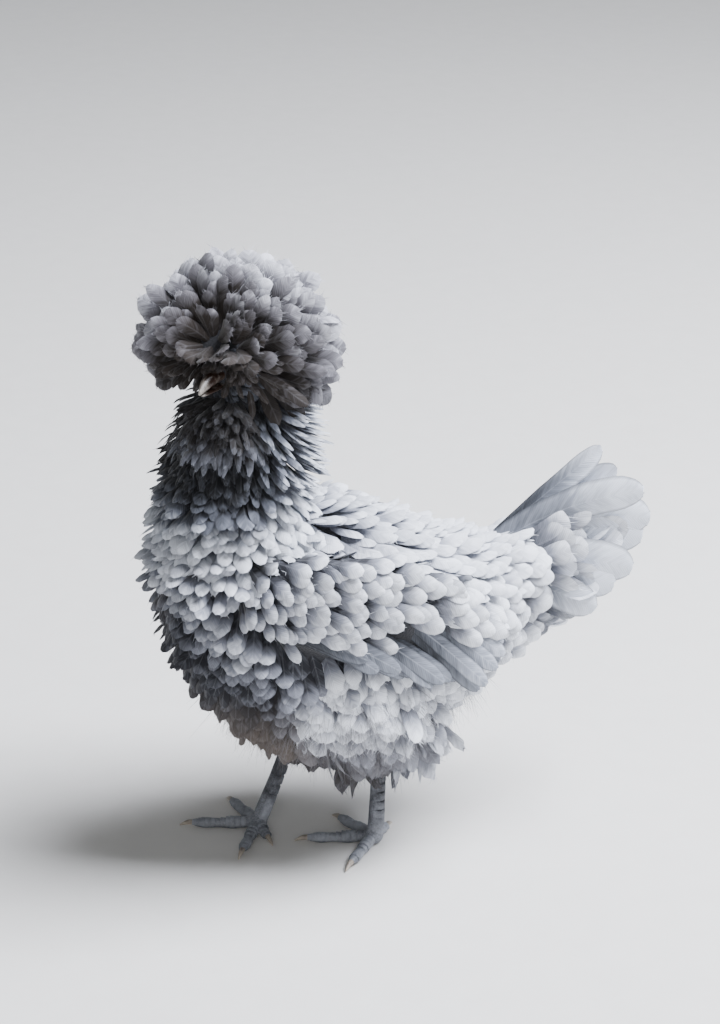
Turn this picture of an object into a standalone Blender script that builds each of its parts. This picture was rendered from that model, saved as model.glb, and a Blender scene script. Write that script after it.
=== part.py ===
"""A frizzle Polish hen, life size and standing, as a museum model.

Metres, +Z up. The hen faces -Y, and its left side is +X. Stations and sizes below are in
millimetres, in a frame whose origin lies on the floor under the body. The last step moves the
whole hen so that the origin is the middle of the bottom of its bounding box.

Each feathered node is a core, which is flesh, with its feathers set on it as thin curved vanes.
"""

import math
import random

import bmesh
import bpy
from mathutils import Matrix, Vector
from mathutils.bvhtree import BVHTree

MM = 0.001
GAP = 0.3 * MM
CLEARANCE = 0.45 * MM
UP = Vector((0, 0, 1))
BACK = Vector((0, 1, 0))
LEFT = Vector((1, 0, 0))

# Stations of the bodies: x, y, z, half width, half depth.
TORSO = [
    (0, -132, 224, 14, 20),
    (0, -122, 216, 34, 46),
    (0, -100, 203, 50, 67),
    (0, -65, 186, 61, 81),
    (0, -25, 177, 65, 83),
    (0, 15, 171, 63, 75),
    (0, 48, 171, 54, 60),
    (0, 80, 178, 41, 43),
    (0, 106, 189, 29, 30),
    (0, 121, 195, 17, 18),
]
NECK = [
    (0, -90, 240, 38, 38),
    (1, -91, 275, 36, 36),
    (3, -90, 305, 32, 32),
    (7, -89, 335, 26, 26),
    (10, -89, 364, 17, 17),
]
TAIL_BASE = [
    (0, 114, 196, 16, 18),
    (0, 128, 201, 17, 22),
    (0, 142, 206, 13, 19),
    (0, 154, 210, 6, 11),
]
WING = [
    (44, -106, 232, 5, 8),
    (53, -92, 228, 8, 24),
    (62, -58, 218, 9, 36),
    (66, -18, 209, 9, 38),
    (63, 22, 199, 8, 32),
    (56, 56, 188, 6, 22),
    (50, 74, 182, 3, 9),
]
THIGH = {
    "left": [
        (42, -20, 168, 26, 44),
        (43, -16, 136, 27, 44),
        (35, -4, 107, 17, 29),
        (25, 5, 92, 8, 12),
    ],
    "right": [
        (-42, -34, 168, 26, 44),
        (-43, -34, 136, 27, 44),
        (-35, -35, 107, 17, 29),
        (-26, -36, 92, 8, 12),
    ],
}
SHANK = {
    "left": [
        (23.5, 8, 98, 4.6, 5.4),
        (23, 8, 88, 5.8, 6.9),
        (22.5, 7, 72, 4.6, 5.8),
        (22, 6, 45, 4.3, 5.4),
        (22, 5, 20, 4.8, 5.8),
        (22, 4, 8, 5.2, 5.8),
    ],
    "right": [
        (-26, -33, 97, 4.6, 5.4),
        (-26, -36, 87, 5.8, 6.9),
        (-25, -43, 72, 4.6, 5.8),
        (-23.5, -54, 45, 4.3, 5.4),
        (-22, -65, 20, 4.8, 5.8),
        (-22, -70, 8, 5.2, 5.8),
    ],
}
SCUTES = 9
SHANK_SIDES = 7
SCUTE_RISE = 0.45

# The head is turned to the hen's left. Places on it are given from the skull's middle: to its
# left, forward and up.
HEAD_TURN = math.radians(47)
SKULL_CENTRE = (12, -93, 375)
SKULL_HALF = (17, 23, 17)
CREST_CENTRE = (5, -90, 384)
CREST_HALF = (33, 32, 27)
CREST_WHORL = Vector((0.80, -0.52, 0.30))
BEARD_PLACE = (0, 8, -27)
BEARD_HALF = (20, 15, 15)
EYE_RADIUS = 4.3
EYE_PLACE = (13.8, 7, 3)
LID_THICKNESS = 0.9
NOSTRIL_PLACE = (3.4, 28, 1.8)
NOSTRIL_HALF = (1.4, 2.0, 0.8)
BEAK_UPPER = [(0, 17, 1, 6.8, 5.8), (0, 27, 0.5, 5.5, 5.0), (0, 37, -1.5, 3.6, 3.6), (0, 45, -5, 1.0, 1.2)]
BEAK_LOWER = [(0, 16, -7.5, 5.8, 2.4), (0, 27, -7.4, 4.5, 2.1), (0, 37, -7.5, 2.6, 1.4), (0, 41, -7.7, 0.9, 0.7)]

# The feet: the middle of the ball of each, and for each toe its heading from the front toward the
# hen's left in degrees, and its length without the claw.
BALL = {"left": (22, 3, 6.2), "right": (-22, -71, 6.2)}
BALL_HALF = (7.2, 7.6, 7.0)
TOES = {
    "left": {"inner": (-68, 36), "middle": (-18, 46), "outer": (47, 36), "back": (224, 18)},
    "right": {"inner": (57, 36), "middle": (-21, 46), "outer": (-78, 38), "back": (96, 18)},
}
BACK_TOE_LIFT = 2.0
CLAW_LENGTH = 12
CLAW_RADIUS = 2.3

# Outlines of a feather: how far along it, and its width there as a share of the full width.
PETAL = [(0.0, 0.42), (0.62, 1.0), (1.0, 0.52)]
LANCE = [(0.0, 0.55), (0.5, 1.0), (1.0, 0.14)]
BLADE = [(0.0, 0.25), (0.45, 0.85), (0.84, 1.0), (1.0, 0.5)]
ROOT_THICKNESS = 1.1
TIP_THICKNESS = 0.55
ROOT_DEPTH = 4.5

# Kinds of feather: outline, length, width, the angle off the surface at the root and at the tip
# in degrees, and the roll about its own length that lays each over the next.
FEATHERS = {
    "breast": (PETAL, 40, 22, 22, 70, 9),
    "flank": (PETAL, 39, 22, 18, 62, 9),
    "saddle": (PETAL, 37, 21, 16, 52, 9),
    "hackle": (LANCE, 44, 17, 24, 58, 12),
    "crest": (PETAL, 45, 22, 38, 62, 8),
    "beard": (PETAL, 34, 17, 26, 52, 10),
    "lesser": (PETAL, 30, 18, 26, 72, 10),
    "median": (PETAL, 34, 19, 20, 60, 10),
    "greater": (PETAL, 42, 19, 15, 46, 10),
    "secondary": (BLADE, 58, 19, 9, 26, 10),
    "primary": (BLADE, 66, 17, 4, 12, 8),
    "tail_covert": (PETAL, 44, 23, 22, 40, 10),
    "rectrix": (BLADE, 88, 28, 2, 12, 14),
    "thigh": (PETAL, 46, 22, 14, 36, 9),
}
# Each tier of the wing: kind, how far back its roots are, the lowest and highest root round the
# outer side in degrees, and how many feathers it has.
WING_TIERS = [
    ("lesser", 0.05, -50, 60, 4),
    ("lesser", 0.17, -60, 66, 5),
    ("median", 0.31, -64, 70, 5),
    ("greater", 0.45, -62, 70, 6),
    ("secondary", 0.58, -58, 66, 5),
    ("secondary", 0.72, -45, 45, 3),
    ("primary", 0.50, -82, -60, 2),
]
# The tail's fan, from the top feather down: its slope in degrees, how far it leans out, and its
# length as a share of the longest.
TAIL_FAN = [
    (35, 0, 0.9),
    (27, 3, 1.0),
    (18, 7, 1.0),
    (9, 11, 0.94),
    (-1, 16, 0.84),
    (-12, 22, 0.7),
]
# The top feather's root, and the step to the root of the next one down.
TAIL_ROOT = (5, 137, 219)
TAIL_STEP = (0.7, -1, -6)
TAIL_TILT = 0.25
# Rows of tail coverts: how far back, and their size as a share.
TAIL_COVERTS = [(0.35, 0.9), (0.62, 1.0)]
TAIL_COVERT_PITCH = 25
WING_LIE = Vector((0, 1, -0.42))

# Rings of the crest, in degrees from the whorl, and how many feathers the widest has. Lower than
# CREST_FLOOR the crest has none, and CREST_DROOP turns the lower ones down.
CREST_RINGS = (14, 34, 54, 74, 94, 114, 134, 154)
CREST_COUNT = 12.6
CREST_FLOOR = -0.62
CREST_DROOP = 0.7
CREST_INNER = 0.78
# Rows of the beard: degrees under its middle, and how many feathers. They reach round to
# BEARD_REACH degrees on each side of the beak.
BEARD_ROWS = [(5, 7), (35, 6), (65, 3)]
BEARD_REACH = 85
# Spacing along and round a body, in millimetres.
NECK_PITCH = (18, 23)
TORSO_PITCH = (27, 29)
THIGH_ROWS = (0.07, 0.27, 0.47, 0.7)
THIGH_PITCH = 28
# Body feathers hang straight down at the breast and run back at the tail: the front and the length
# of that change, and the direction at each end.
LIE_FRONT = -120
LIE_LENGTH = 200
BREAST_LIE = Vector((0, 0.15, -1))
RUMP_LIE = Vector((0, 1, -0.55))
BREAST_END = -50
SADDLE_NORMAL = 0.35

# Finishes: colour, roughness and metallic share.
FINISHES = {
    "torso": ((0.42, 0.42, 0.44), 0.75, 0.0),
    "neck": ((0.16, 0.16, 0.17), 0.75, 0.0),
    "head": ((0.10, 0.08, 0.08), 0.6, 0.0),
    "crest": ((0.20, 0.19, 0.19), 0.75, 0.0),
    "beard": ((0.10, 0.10, 0.10), 0.75, 0.0),
    "wing": ((0.45, 0.45, 0.48), 0.65, 0.0),
    "tail": ((0.52, 0.54, 0.57), 0.6, 0.0),
    "thigh": ((0.40, 0.40, 0.42), 0.8, 0.0),
    "shank": ((0.12, 0.13, 0.14), 0.55, 0.0),
    "foot": ((0.20, 0.21, 0.22), 0.55, 0.0),
    "claw": ((0.55, 0.50, 0.45), 0.4, 0.0),
    "beak": ((0.60, 0.52, 0.42), 0.35, 0.0),
    "eye": ((0.25, 0.08, 0.03), 0.08, 0.0),
}
SHARP_ANGLE = math.radians(40)


def mm(*values):
    """A vector from millimetres."""
    return Vector(values) * MM


def flat_on(way, normal):
    """The part of a direction that lies along a surface."""
    return (way - normal * way.dot(normal)).normalized()


class Form:
    """Elliptical sections carried along a bent centre line."""

    def __init__(self, stations, along=None, up=UP):
        self.rows = [[value * MM for value in row] for row in stations]
        self.along = along
        self.up = up

    def at(self, t):
        """Centre, half width and half depth, with t from 0 to 1, on a smooth curve through the stations."""
        last = len(self.rows) - 1
        spot = min(max(t, 0.0), 1.0) * last
        i = min(int(spot), last - 1)
        s = spot - i
        a, b, c, d = (self.rows[min(max(k, 0), last)] for k in (i - 1, i, i + 1, i + 2))
        row = [
            q + 0.5 * s * (r - p + s * (2 * p - 5 * q + 4 * r - u + s * (3 * (q - r) + u - p)))
            for p, q, r, u in zip(a, b, c, d)
        ]
        return Vector(row[:3]), row[3], row[4]

    def axes(self, t):
        """Unit vectors along the form, across the width and across the depth."""
        along = self.along or (self.at(t + 0.02)[0] - self.at(t - 0.02)[0]).normalized()
        depth = (self.up - along * along.dot(self.up)).normalized()
        return along, along.cross(depth), depth

    def point(self, t, turn, grow=0.0):
        """A point of the surface; turn runs from the width toward the depth, in radians."""
        centre, width, height = self.at(t)
        _, side, depth = self.axes(t)
        return (
            centre
            + side * ((width + grow) * math.cos(turn))
            + depth * ((height + grow) * math.sin(turn))
        )

    def normal(self, t, turn):
        """The outward direction of the surface."""
        step = 0.01
        along = self.point(t + step, turn) - self.point(t - step, turn)
        round_it = self.point(t, turn + step) - self.point(t, turn - step)
        out = along.cross(round_it).normalized()
        return out if out.dot(self.point(t, turn) - self.at(t)[0]) > 0 else -out

    def row_places(self, pitch, turn, first=0.03, last=0.97):
        """Values of t that lie one pitch apart along the surface."""
        steps = 200
        places, run = [first], 0.0
        for i in range(steps):
            t = first + (last - first) * (i + 1) / steps
            run += (self.point(t, turn) - self.point(t - (last - first) / steps, turn)).length
            if run >= pitch * MM:
                places.append(t)
                run = 0.0
        return places

    def ring_places(self, t, pitch, shift):
        """Values of turn that lie about one pitch apart round the surface."""
        steps = 90
        angles = [2 * math.pi * k / steps for k in range(steps + 1)]
        run = [0.0]
        for a, b in zip(angles, angles[1:]):
            run.append(run[-1] + (self.point(t, b) - self.point(t, a)).length)
        count = max(3, round(run[-1] / (pitch * MM)))
        places = []
        for k in range(count):
            goal = run[-1] * ((k + shift) % count) / count
            i = next(n for n in range(steps) if run[n + 1] >= goal)
            places.append(angles[i] + (angles[1] - angles[0]) * (goal - run[i]) / (run[i + 1] - run[i]))
        return places

    def solid(self, name, rings, sides, grow=0.0):
        """The closed mesh, with a blunt point at each end."""
        points = []
        for i in range(rings):
            for k in range(sides):
                points.append(self.point(i / (rings - 1), 2 * math.pi * k / sides, grow))
        for t, sign in ((0, -1), (1, 1)):
            centre, width, height = self.at(t)
            points.append(centre + self.axes(t)[0] * sign * (0.5 * min(width, height) + grow))
        faces = []
        for i in range(rings - 1):
            for k in range(sides):
                a, b = i * sides + k, i * sides + (k + 1) % sides
                faces.append((b, a, a + sides, b + sides))
        first, final = rings * sides, rings * sides + 1
        for k in range(sides):
            n = (k + 1) % sides
            faces.append((first, k, n))
            faces.append((final, (rings - 1) * sides + n, (rings - 1) * sides + k))
        return mesh_object(name, points, faces)


def mesh_object(name, points, faces):
    """A new object of these faces, turned outward."""
    mesh = bpy.data.meshes.new(name)
    mesh.from_pydata([tuple(p) for p in points], [], faces)
    work = bmesh.new()
    work.from_mesh(mesh)
    bmesh.ops.recalc_face_normals(work, faces=work.faces)
    work.to_mesh(mesh)
    work.free()
    made = bpy.data.objects.new(name, mesh)
    bpy.context.scene.collection.objects.link(made)
    return made


def ball(name, centre, half, segments=16, rings=10, turn=0.0, grow=0.0):
    """An ellipsoid from a sphere primitive, with its half sizes applied."""
    bpy.ops.mesh.primitive_uv_sphere_add(segments=segments, ring_count=rings, radius=1.0)
    made = bpy.context.object
    made.name = name
    size = [value * MM + grow for value in half]
    place = Matrix.Translation(mm(*centre)) @ Matrix.Rotation(turn, 4, "Z")
    made.data.transform(place @ Matrix.Diagonal((*size, 1.0)))
    return made


def boolean(target, others, operation, solver="EXACT"):
    """One Boolean of the target with a collection of closed meshes, applied; the others are removed."""
    group = bpy.data.collections.new("pieces")
    bpy.context.scene.collection.children.link(group)
    for piece in others:
        for home in list(piece.users_collection):
            home.objects.unlink(piece)
        group.objects.link(piece)
    step = target.modifiers.new("join", "BOOLEAN")
    step.operation = operation
    step.operand_type = "COLLECTION"
    step.collection = group
    step.solver = solver
    bpy.context.view_layer.update()
    graph = bpy.context.evaluated_depsgraph_get()
    result = bpy.data.meshes.new_from_object(target.evaluated_get(graph))
    target.modifiers.remove(step)
    target.data = result
    for piece in others:
        bpy.data.objects.remove(piece)
    bpy.data.collections.remove(group)
    keep_largest(target)
    return target


def keep_largest(target):
    """Keeps only the largest closed surface of the mesh."""
    work = bmesh.new()
    work.from_mesh(target.data)
    seen, shells = set(), []
    for start in work.verts:
        if start in seen:
            continue
        shell, edge = {start}, [start]
        while edge:
            for link in edge.pop().link_edges:
                for vert in link.verts:
                    if vert not in shell:
                        shell.add(vert)
                        edge.append(vert)
        seen |= shell
        shells.append(shell)
    shells.sort(key=len)
    bmesh.ops.delete(work, geom=[v for shell in shells[:-1] for v in shell], context="VERTS")
    work.to_mesh(target.data)
    work.free()


def finish(target, kind):
    """Gives the node its own material, smooth shading and sharp edges where it bends hard."""
    colour, roughness, metallic = FINISHES[kind]
    material = bpy.data.materials.new(target.name)
    material.use_nodes = True
    shader = material.node_tree.nodes["Principled BSDF"]
    shader.inputs["Base Color"].default_value = (*colour, 1.0)
    shader.inputs["Roughness"].default_value = roughness
    shader.inputs["Metallic"].default_value = metallic
    target.data.materials.clear()
    target.data.materials.append(material)
    target.data.shade_smooth()
    target.data.set_sharp_from_angle(angle=SHARP_ANGLE)
    return target


def tree(target):
    """A search tree of an object's faces."""
    return BVHTree.FromPolygons(
        [v.co for v in target.data.vertices], [p.vertices[:] for p in target.data.polygons]
    )


class Vane:
    """One feather: a thin curved blade that rises from a surface along its lie."""

    def __init__(self, kind, root, lie, out, scale=1.0, hand=1):
        self.outline, length, width, self.root_lift, self.tip_lift, roll = FEATHERS[kind]
        self.length = length * MM * scale
        self.width = width * MM * (0.5 + 0.5 * scale)
        self.root, self.lie, self.out = root, lie, out
        self.roll = hand * math.radians(roll)

    def shape(self, lift=0.0, share=1.0, margin=0.0):
        """Points and faces, with a change of lift in degrees, a share of the length and a margin all round."""
        angle = math.radians(self.root_lift + lift)
        bend = math.radians(self.tip_lift - self.root_lift)
        length = self.length * share
        side = self.lie.cross(self.out)
        spot = self.root - self.out * (ROOT_DEPTH * MM)
        points, done = [], 0.0
        steps = 6
        for along, wide in self.outline:
            thick = ROOT_THICKNESS + (TIP_THICKNESS - ROOT_THICKNESS) * along
            for k in range(steps):
                here = angle + bend * (done + (along - done) * (k + 0.5) / steps)
                way = self.lie * math.cos(here) + self.out * math.sin(here)
                spot = spot + way * (length * (along - done) / steps)
            done = along
            here = angle + bend * along
            face = self.out * math.cos(here) - self.lie * math.sin(here)
            across = side * math.cos(self.roll) + face * math.sin(self.roll)
            face = face * math.cos(self.roll) - side * math.sin(self.roll)
            half, deep = 0.5 * self.width * wide + margin, 0.5 * thick * MM + margin
            for a, b in ((-1, -1), (1, -1), (1, 1), (-1, 1)):
                points.append(spot + across * (a * half) + face * (b * deep))
        faces = [(0, 2, 1), (0, 3, 2)]
        last = len(points) - 4
        faces += [(last, last + 1, last + 2), (last, last + 2, last + 3)]
        for i in range(0, last, 4):
            low, high = i, i + 4
            faces += [(low, low + 1, high + 1), (low, high + 1, high)]
            faces += [(low + 3, high + 2, low + 2), (low + 3, high + 3, high + 2)]
            faces += [(low + 1, low + 2, high + 2), (low + 1, high + 2, high + 1)]
            faces += [(low, high + 3, low + 3), (low, high, high + 3)]
        return points, faces


class Plumage:
    """The feathers of one node, each set clear of every other node."""

    CHANGES = ((0, 1.0), (12, 1.0), (-10, 0.9), (24, 0.95), (8, 0.75), (-14, 0.7), (36, 0.9))

    def __init__(self, core, nodes):
        self.core = core
        self.others = [tree(node) for node in nodes if node is not core]
        self.vanes = []
        self.draw = random.Random(core.name)

    def add(self, kind, root, lie, out, scale=1.0, spread=4.0, hand=1):
        """Sets a feather, raised or shortened where another node is in its way, or leaves it out."""
        lie = Matrix.Rotation(math.radians(self.draw.uniform(-spread, spread)), 3, out) @ lie
        vane = Vane(kind, root, lie, out, scale * self.draw.uniform(0.95, 1.05), hand)
        lean = 0.6 * self.draw.uniform(-spread, spread)
        for lift, share in self.CHANGES:
            fat = BVHTree.FromPolygons(*vane.shape(lift + lean, share, CLEARANCE))
            if not any(fat.overlap(other) for other in self.others):
                self.vanes.append(mesh_object("vane", *vane.shape(lift + lean, share)))
                return

    def join(self, kind):
        """Fuses the feathers with their core."""
        boolean(self.core, self.vanes, "UNION", "MANIFOLD")
        return finish(self.core, kind)


def head_place(x, y, z):
    """A place on the head, x to its left, y forward and z up from the skull's middle."""
    forward = Vector((math.sin(HEAD_TURN), -math.cos(HEAD_TURN), 0))
    left = Vector((math.cos(HEAD_TURN), math.sin(HEAD_TURN), 0))
    return Vector(SKULL_CENTRE) + left * x + forward * y + UP * z


def head_form(stations):
    """A form given by places on the head."""
    return Form([(*head_place(*row[:3]), *row[3:]) for row in stations])


def reach(half, way):
    """How far a ball that is turned with the head reaches in a direction."""
    own = Matrix.Rotation(-HEAD_TURN, 3, "Z") @ way
    return 1 / math.sqrt(sum((a / (b * MM)) ** 2 for a, b in zip(own, half)))


def heading(degrees):
    """A level direction, from the front toward the hen's left."""
    turn = math.radians(degrees)
    return Vector((math.sin(turn), -math.cos(turn), 0))


def toe_form(side, toe):
    """A toe, from inside the ball of the foot to the claw's root."""
    degrees, length = TOES[side][toe]
    root, way = Vector(BALL[side]), heading(degrees)
    lift = BACK_TOE_LIFT if toe == "back" else 0.0
    return Form(
        [
            (*(root + UP * lift), 5.0, 4.6),
            (*(root + way * (0.3 * length) + UP * (0.6 * lift - 1.8)), 4.4, 4.6),
            (*(root + way * (0.62 * length) - UP * 2.8), 3.8, 3.8),
            (*(root + way * (0.9 * length) - UP * 3.1), 3.5, 3.5),
            (*(root + way * length - UP * 3.2), 2.2, 2.4),
        ]
    )


def claw_form(side, toe):
    """A claw, curved down from the toe's end to its point near the floor."""
    degrees, length = TOES[side][toe]
    root, way = Vector(BALL[side]) + heading(degrees) * length, heading(degrees)
    spot = root - UP * root.z
    return Form(
        [
            (*(spot - way * 3.5 + UP * 3.6), CLAW_RADIUS, CLAW_RADIUS),
            (*(spot + way * 3.5 + UP * 3.8), 0.8 * CLAW_RADIUS, 0.9 * CLAW_RADIUS),
            (*(spot + way * (0.6 * CLAW_LENGTH) + UP * 2.9), 0.55 * CLAW_RADIUS, 0.7 * CLAW_RADIUS),
            (*(spot + way * (0.92 * CLAW_LENGTH) + UP * 1.2), 0.2 * CLAW_RADIUS, 0.25 * CLAW_RADIUS),
        ]
    )


def floor_cutter():
    """A slab with its top at the floor, which makes the flats that the hen stands on."""
    bpy.ops.mesh.primitive_cube_add(size=1.0)
    cutter = bpy.context.object
    cutter.data.transform(Matrix.Translation((0, 0, -0.05)) @ Matrix.Diagonal((1, 1, 0.1, 1)))
    return cutter


def torso_solid(grow=0.0):
    return Form(TORSO, BACK).solid("torso", 13, 16, grow)


def neck_form():
    return Form(NECK, UP, -BACK)


def wing_form(side):
    sign = 1 if side == "left" else -1
    return Form([(sign * row[0], *row[1:]) for row in WING], BACK)


def wing_solid(side, grow=0.0):
    return wing_form(side).solid(f"wing_{side}", 10, 12, grow)


def skull_solid(grow=0.0):
    return ball("head", SKULL_CENTRE, SKULL_HALF, 12, 8, HEAD_TURN, grow)


def crest_solid(grow=0.0):
    return ball("crest", CREST_CENTRE, CREST_HALF, 14, 9, HEAD_TURN, grow)


def beard_solid(grow=0.0):
    return ball("beard", head_place(*BEARD_PLACE), BEARD_HALF, 12, 8, HEAD_TURN, grow)


def eye_solids(grow=0.0):
    """The two eyeballs, left first."""
    x, y, z = EYE_PLACE
    places = (("left", head_place(x, y, z)), ("right", head_place(-x, y, z)))
    return [ball(f"eye_{side}", place, [EYE_RADIUS] * 3, 10, 7, 0, grow) for side, place in places]


def upper_beak_solid(grow=0.0):
    return head_form(BEAK_UPPER).solid("beak_upper", 8, 12, grow)


def lower_beak_solid(grow=0.0):
    return head_form(BEAK_LOWER).solid("beak_lower", 6, 10, grow)


def face_cutters():
    """What the crest and the beard keep clear of: the skull, both beaks and the lidded eyes."""
    return [skull_solid(GAP), upper_beak_solid(GAP), lower_beak_solid(GAP), *lid_gaps()]


def lid_rings():
    """A raised ring of skin round each eye."""
    rings = []
    for sign in (1, -1):
        x, y, z = EYE_PLACE
        centre = head_place(sign * x, y, z)
        outward = (centre - Vector(SKULL_CENTRE)).normalized()
        bpy.ops.mesh.primitive_torus_add(
            major_segments=8,
            minor_segments=4,
            major_radius=0.9 * EYE_RADIUS * MM,
            minor_radius=LID_THICKNESS * MM,
        )
        ring = bpy.context.object
        place = Matrix.Translation((centre + outward * 2.2) * MM)
        ring.data.transform(place @ outward.to_track_quat("Z", "Y").to_matrix().to_4x4())
        rings.append(ring)
    return rings


def nostril_cutters():
    """A long pit on each side of the upper beak."""
    x, y, z = NOSTRIL_PLACE
    return [
        ball("nostril", head_place(sign * x, y, z), NOSTRIL_HALF, 8, 6, HEAD_TURN) for sign in (1, -1)
    ]


def make_head():
    """The skull with its lids, the eyes and the beak, each cut clear of the next."""
    head = boolean(skull_solid(), lid_rings(), "UNION")
    boolean(head, eye_solids(GAP), "DIFFERENCE")
    eyes = eye_solids()
    upper = boolean(upper_beak_solid(), [skull_solid(GAP), *nostril_cutters()], "DIFFERENCE")
    lower = boolean(lower_beak_solid(), [skull_solid(GAP), upper_beak_solid(GAP)], "DIFFERENCE")
    for eye in eyes:
        finish(eye, "eye")
    finish(upper, "beak")
    finish(lower, "beak")
    return [finish(head, "head"), upper, lower, *eyes]


def shank_solid(side, grow=0.0):
    return Form(SHANK[side], -UP, -BACK).solid(f"shank_{side}", 2 * SCUTES, SHANK_SIDES, grow)


def make_shank(side):
    """The scaled shank: each scute on its front stands over the next one down."""
    shank = shank_solid(side)
    form = Form(SHANK[side], -UP, -BACK)
    for i in range(2 * SCUTES):
        centre = form.at(i / (2 * SCUTES - 1))[0]
        rise = SCUTE_RISE * MM * (1 if i % 2 else -0.3)
        for k in range(SHANK_SIDES):
            vert = shank.data.vertices[SHANK_SIDES * i + k]
            away = vert.co - centre
            if away.y < 0:
                vert.co += away.normalized() * rise
    return shank


def make_leg(side):
    """The foot with its toes, the claws, the shank and the thigh's core."""
    shank = make_shank(side)
    foot = ball(f"foot_{side}", BALL[side], BALL_HALF, 10, 6)
    toes = [toe_form(side, toe).solid("toe", 4, 7) for toe in TOES[side]]
    boolean(foot, toes, "UNION")
    socket_gap = GAP + 1.2 * SCUTE_RISE * MM
    boolean(foot, [shank_solid(side, socket_gap), floor_cutter()], "DIFFERENCE")
    nodes = [finish(shank, "shank"), finish(foot, "foot")]
    for toe in TOES[side]:
        claw = claw_form(side, toe).solid(f"claw_{side}_{toe}", 4, 6)
        boolean(claw, [toe_form(side, toe).solid("cup", 4, 7, GAP), floor_cutter()], "DIFFERENCE")
        nodes.append(finish(claw, "claw"))
    thigh = Form(THIGH[side], -UP, -BACK).solid(f"thigh_{side}", 7, 12)
    others = [torso_solid(GAP), shank_solid(side, socket_gap), wing_solid(side, GAP)]
    boolean(thigh, others, "DIFFERENCE", "MANIFOLD")
    return nodes, thigh


def make_cores():
    """The cores of the feathered nodes, each cut clear of what it grows from.

    The manifold solver leaves them closed, as the union with the feathers needs them.
    """
    cores = {"torso": torso_solid()}
    for side in ("left", "right"):
        cores[f"wing_{side}"] = boolean(
            wing_solid(side), [torso_solid(GAP)], "DIFFERENCE", "MANIFOLD"
        )
    tail = Form(TAIL_BASE, BACK).solid("tail", 6, 12)
    cores["tail"] = boolean(tail, [torso_solid(GAP)], "DIFFERENCE", "MANIFOLD")
    cores["crest"] = boolean(crest_solid(), face_cutters(), "DIFFERENCE", "MANIFOLD")
    face = [*face_cutters(), crest_solid(GAP)]
    cores["beard"] = boolean(beard_solid(), face, "DIFFERENCE", "MANIFOLD")
    neck = neck_form().solid("neck", 8, 16)
    others = [torso_solid(GAP), skull_solid(GAP), crest_solid(GAP), beard_solid(GAP)]
    wings = [wing_solid(side, GAP) for side in ("left", "right")]
    cores["neck"] = boolean(neck, others + wings, "DIFFERENCE", "MANIFOLD")
    return cores


def lid_gaps():
    """Balls that keep the crest and the beard clear of the lids."""
    x, y, z = EYE_PLACE
    half = [EYE_RADIUS + LID_THICKNESS + 1] * 3
    return [ball("lid", head_place(sign * x, y, z), half, 12, 8, 0, GAP) for sign in (1, -1)]


def feather_wing(side, coat):
    """Tiers of coverts and flight feathers on the outer side of a folded wing."""
    form = wing_form(side)
    sign = 1 if side == "left" else -1
    for kind, t, lowest, highest, count in WING_TIERS:
        for k in range(count):
            turn = math.radians(lowest + (highest - lowest) * k / (count - 1))
            if sign < 0:
                turn = math.pi - turn
            out = form.normal(t, turn)
            coat.add(kind, form.point(t, turn), flat_on(WING_LIE, out), out, 1.0, 1.5, sign)


def feather_tail(coat):
    """The main feathers in a tent-shaped fan, and rows of coverts over their roots."""
    form = Form(TAIL_BASE, BACK)
    for sign in (1, -1):
        for k, (slope, lean, share) in enumerate(TAIL_FAN):
            rise, yaw = math.radians(slope), math.radians(lean)
            lie = Vector((sign * math.sin(yaw), math.cos(yaw) * math.cos(rise), math.sin(rise)))
            lie.normalize()
            out = flat_on(LEFT * sign - UP * TAIL_TILT, lie)
            root = mm(*TAIL_ROOT) + mm(*TAIL_STEP) * k
            root.x *= sign
            coat.add("rectrix", root, lie, out, share, 0.5, sign)
    for row, (t, share) in enumerate(TAIL_COVERTS):
        for turn in form.ring_places(t, TAIL_COVERT_PITCH, 0.5 * row):
            out = form.normal(t, turn)
            lie = flat_on(BACK + UP * (0.2 + 0.3 * out.z), out)
            coat.add("tail_covert", form.point(t, turn), lie, out, share)


def feather_crest(coat):
    """Rings of petals round the whorl over the beak, each turned away from it."""
    axis = CREST_WHORL.normalized()
    first = axis.orthogonal().normalized()
    centre = mm(*CREST_CENTRE)
    for row, degrees in enumerate(CREST_RINGS):
        tilt = math.radians(degrees)
        count = max(4, round(CREST_COUNT * math.sin(tilt)))
        for k in range(count):
            spin = 2 * math.pi * (k + 0.5 * (row % 2)) / count
            radial = Matrix.Rotation(spin, 3, axis) @ first
            way = axis * math.cos(tilt) + radial * math.sin(tilt)
            away = radial * math.cos(tilt) - axis * math.sin(tilt)
            lie = flat_on(away - UP * (1 - math.cos(tilt)) * CREST_DROOP, way)
            if way.z > CREST_FLOOR:
                root = centre + way * reach(CREST_HALF, way)
                coat.add("crest", root, lie, way, CREST_INNER if row == 0 else 1.0)


def feather_beard(coat):
    """Short petals that hang from the throat and cheeks."""
    centre = head_place(*BEARD_PLACE) * MM
    for degrees, count in BEARD_ROWS:
        drop = math.radians(degrees)
        for k in range(count):
            yaw = math.degrees(HEAD_TURN) + BEARD_REACH * (2 * k / (count - 1) - 1)
            way = heading(yaw) * math.cos(drop) - UP * math.sin(drop)
            root = centre + way * reach(BEARD_HALF, way)
            coat.add("beard", root, flat_on(heading(yaw) * 0.3 - UP, way), way)


def feather_neck(coat):
    """Standing, pointed hackle feathers all round."""
    form = neck_form()
    for row, t in enumerate(form.row_places(NECK_PITCH[0], 0.0, 0.02, 0.9)):
        for turn in form.ring_places(t, NECK_PITCH[1], 0.5 * (row % 2)):
            out = form.normal(t, turn)
            coat.add("hackle", form.point(t, turn), flat_on(-UP, out), out)


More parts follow.
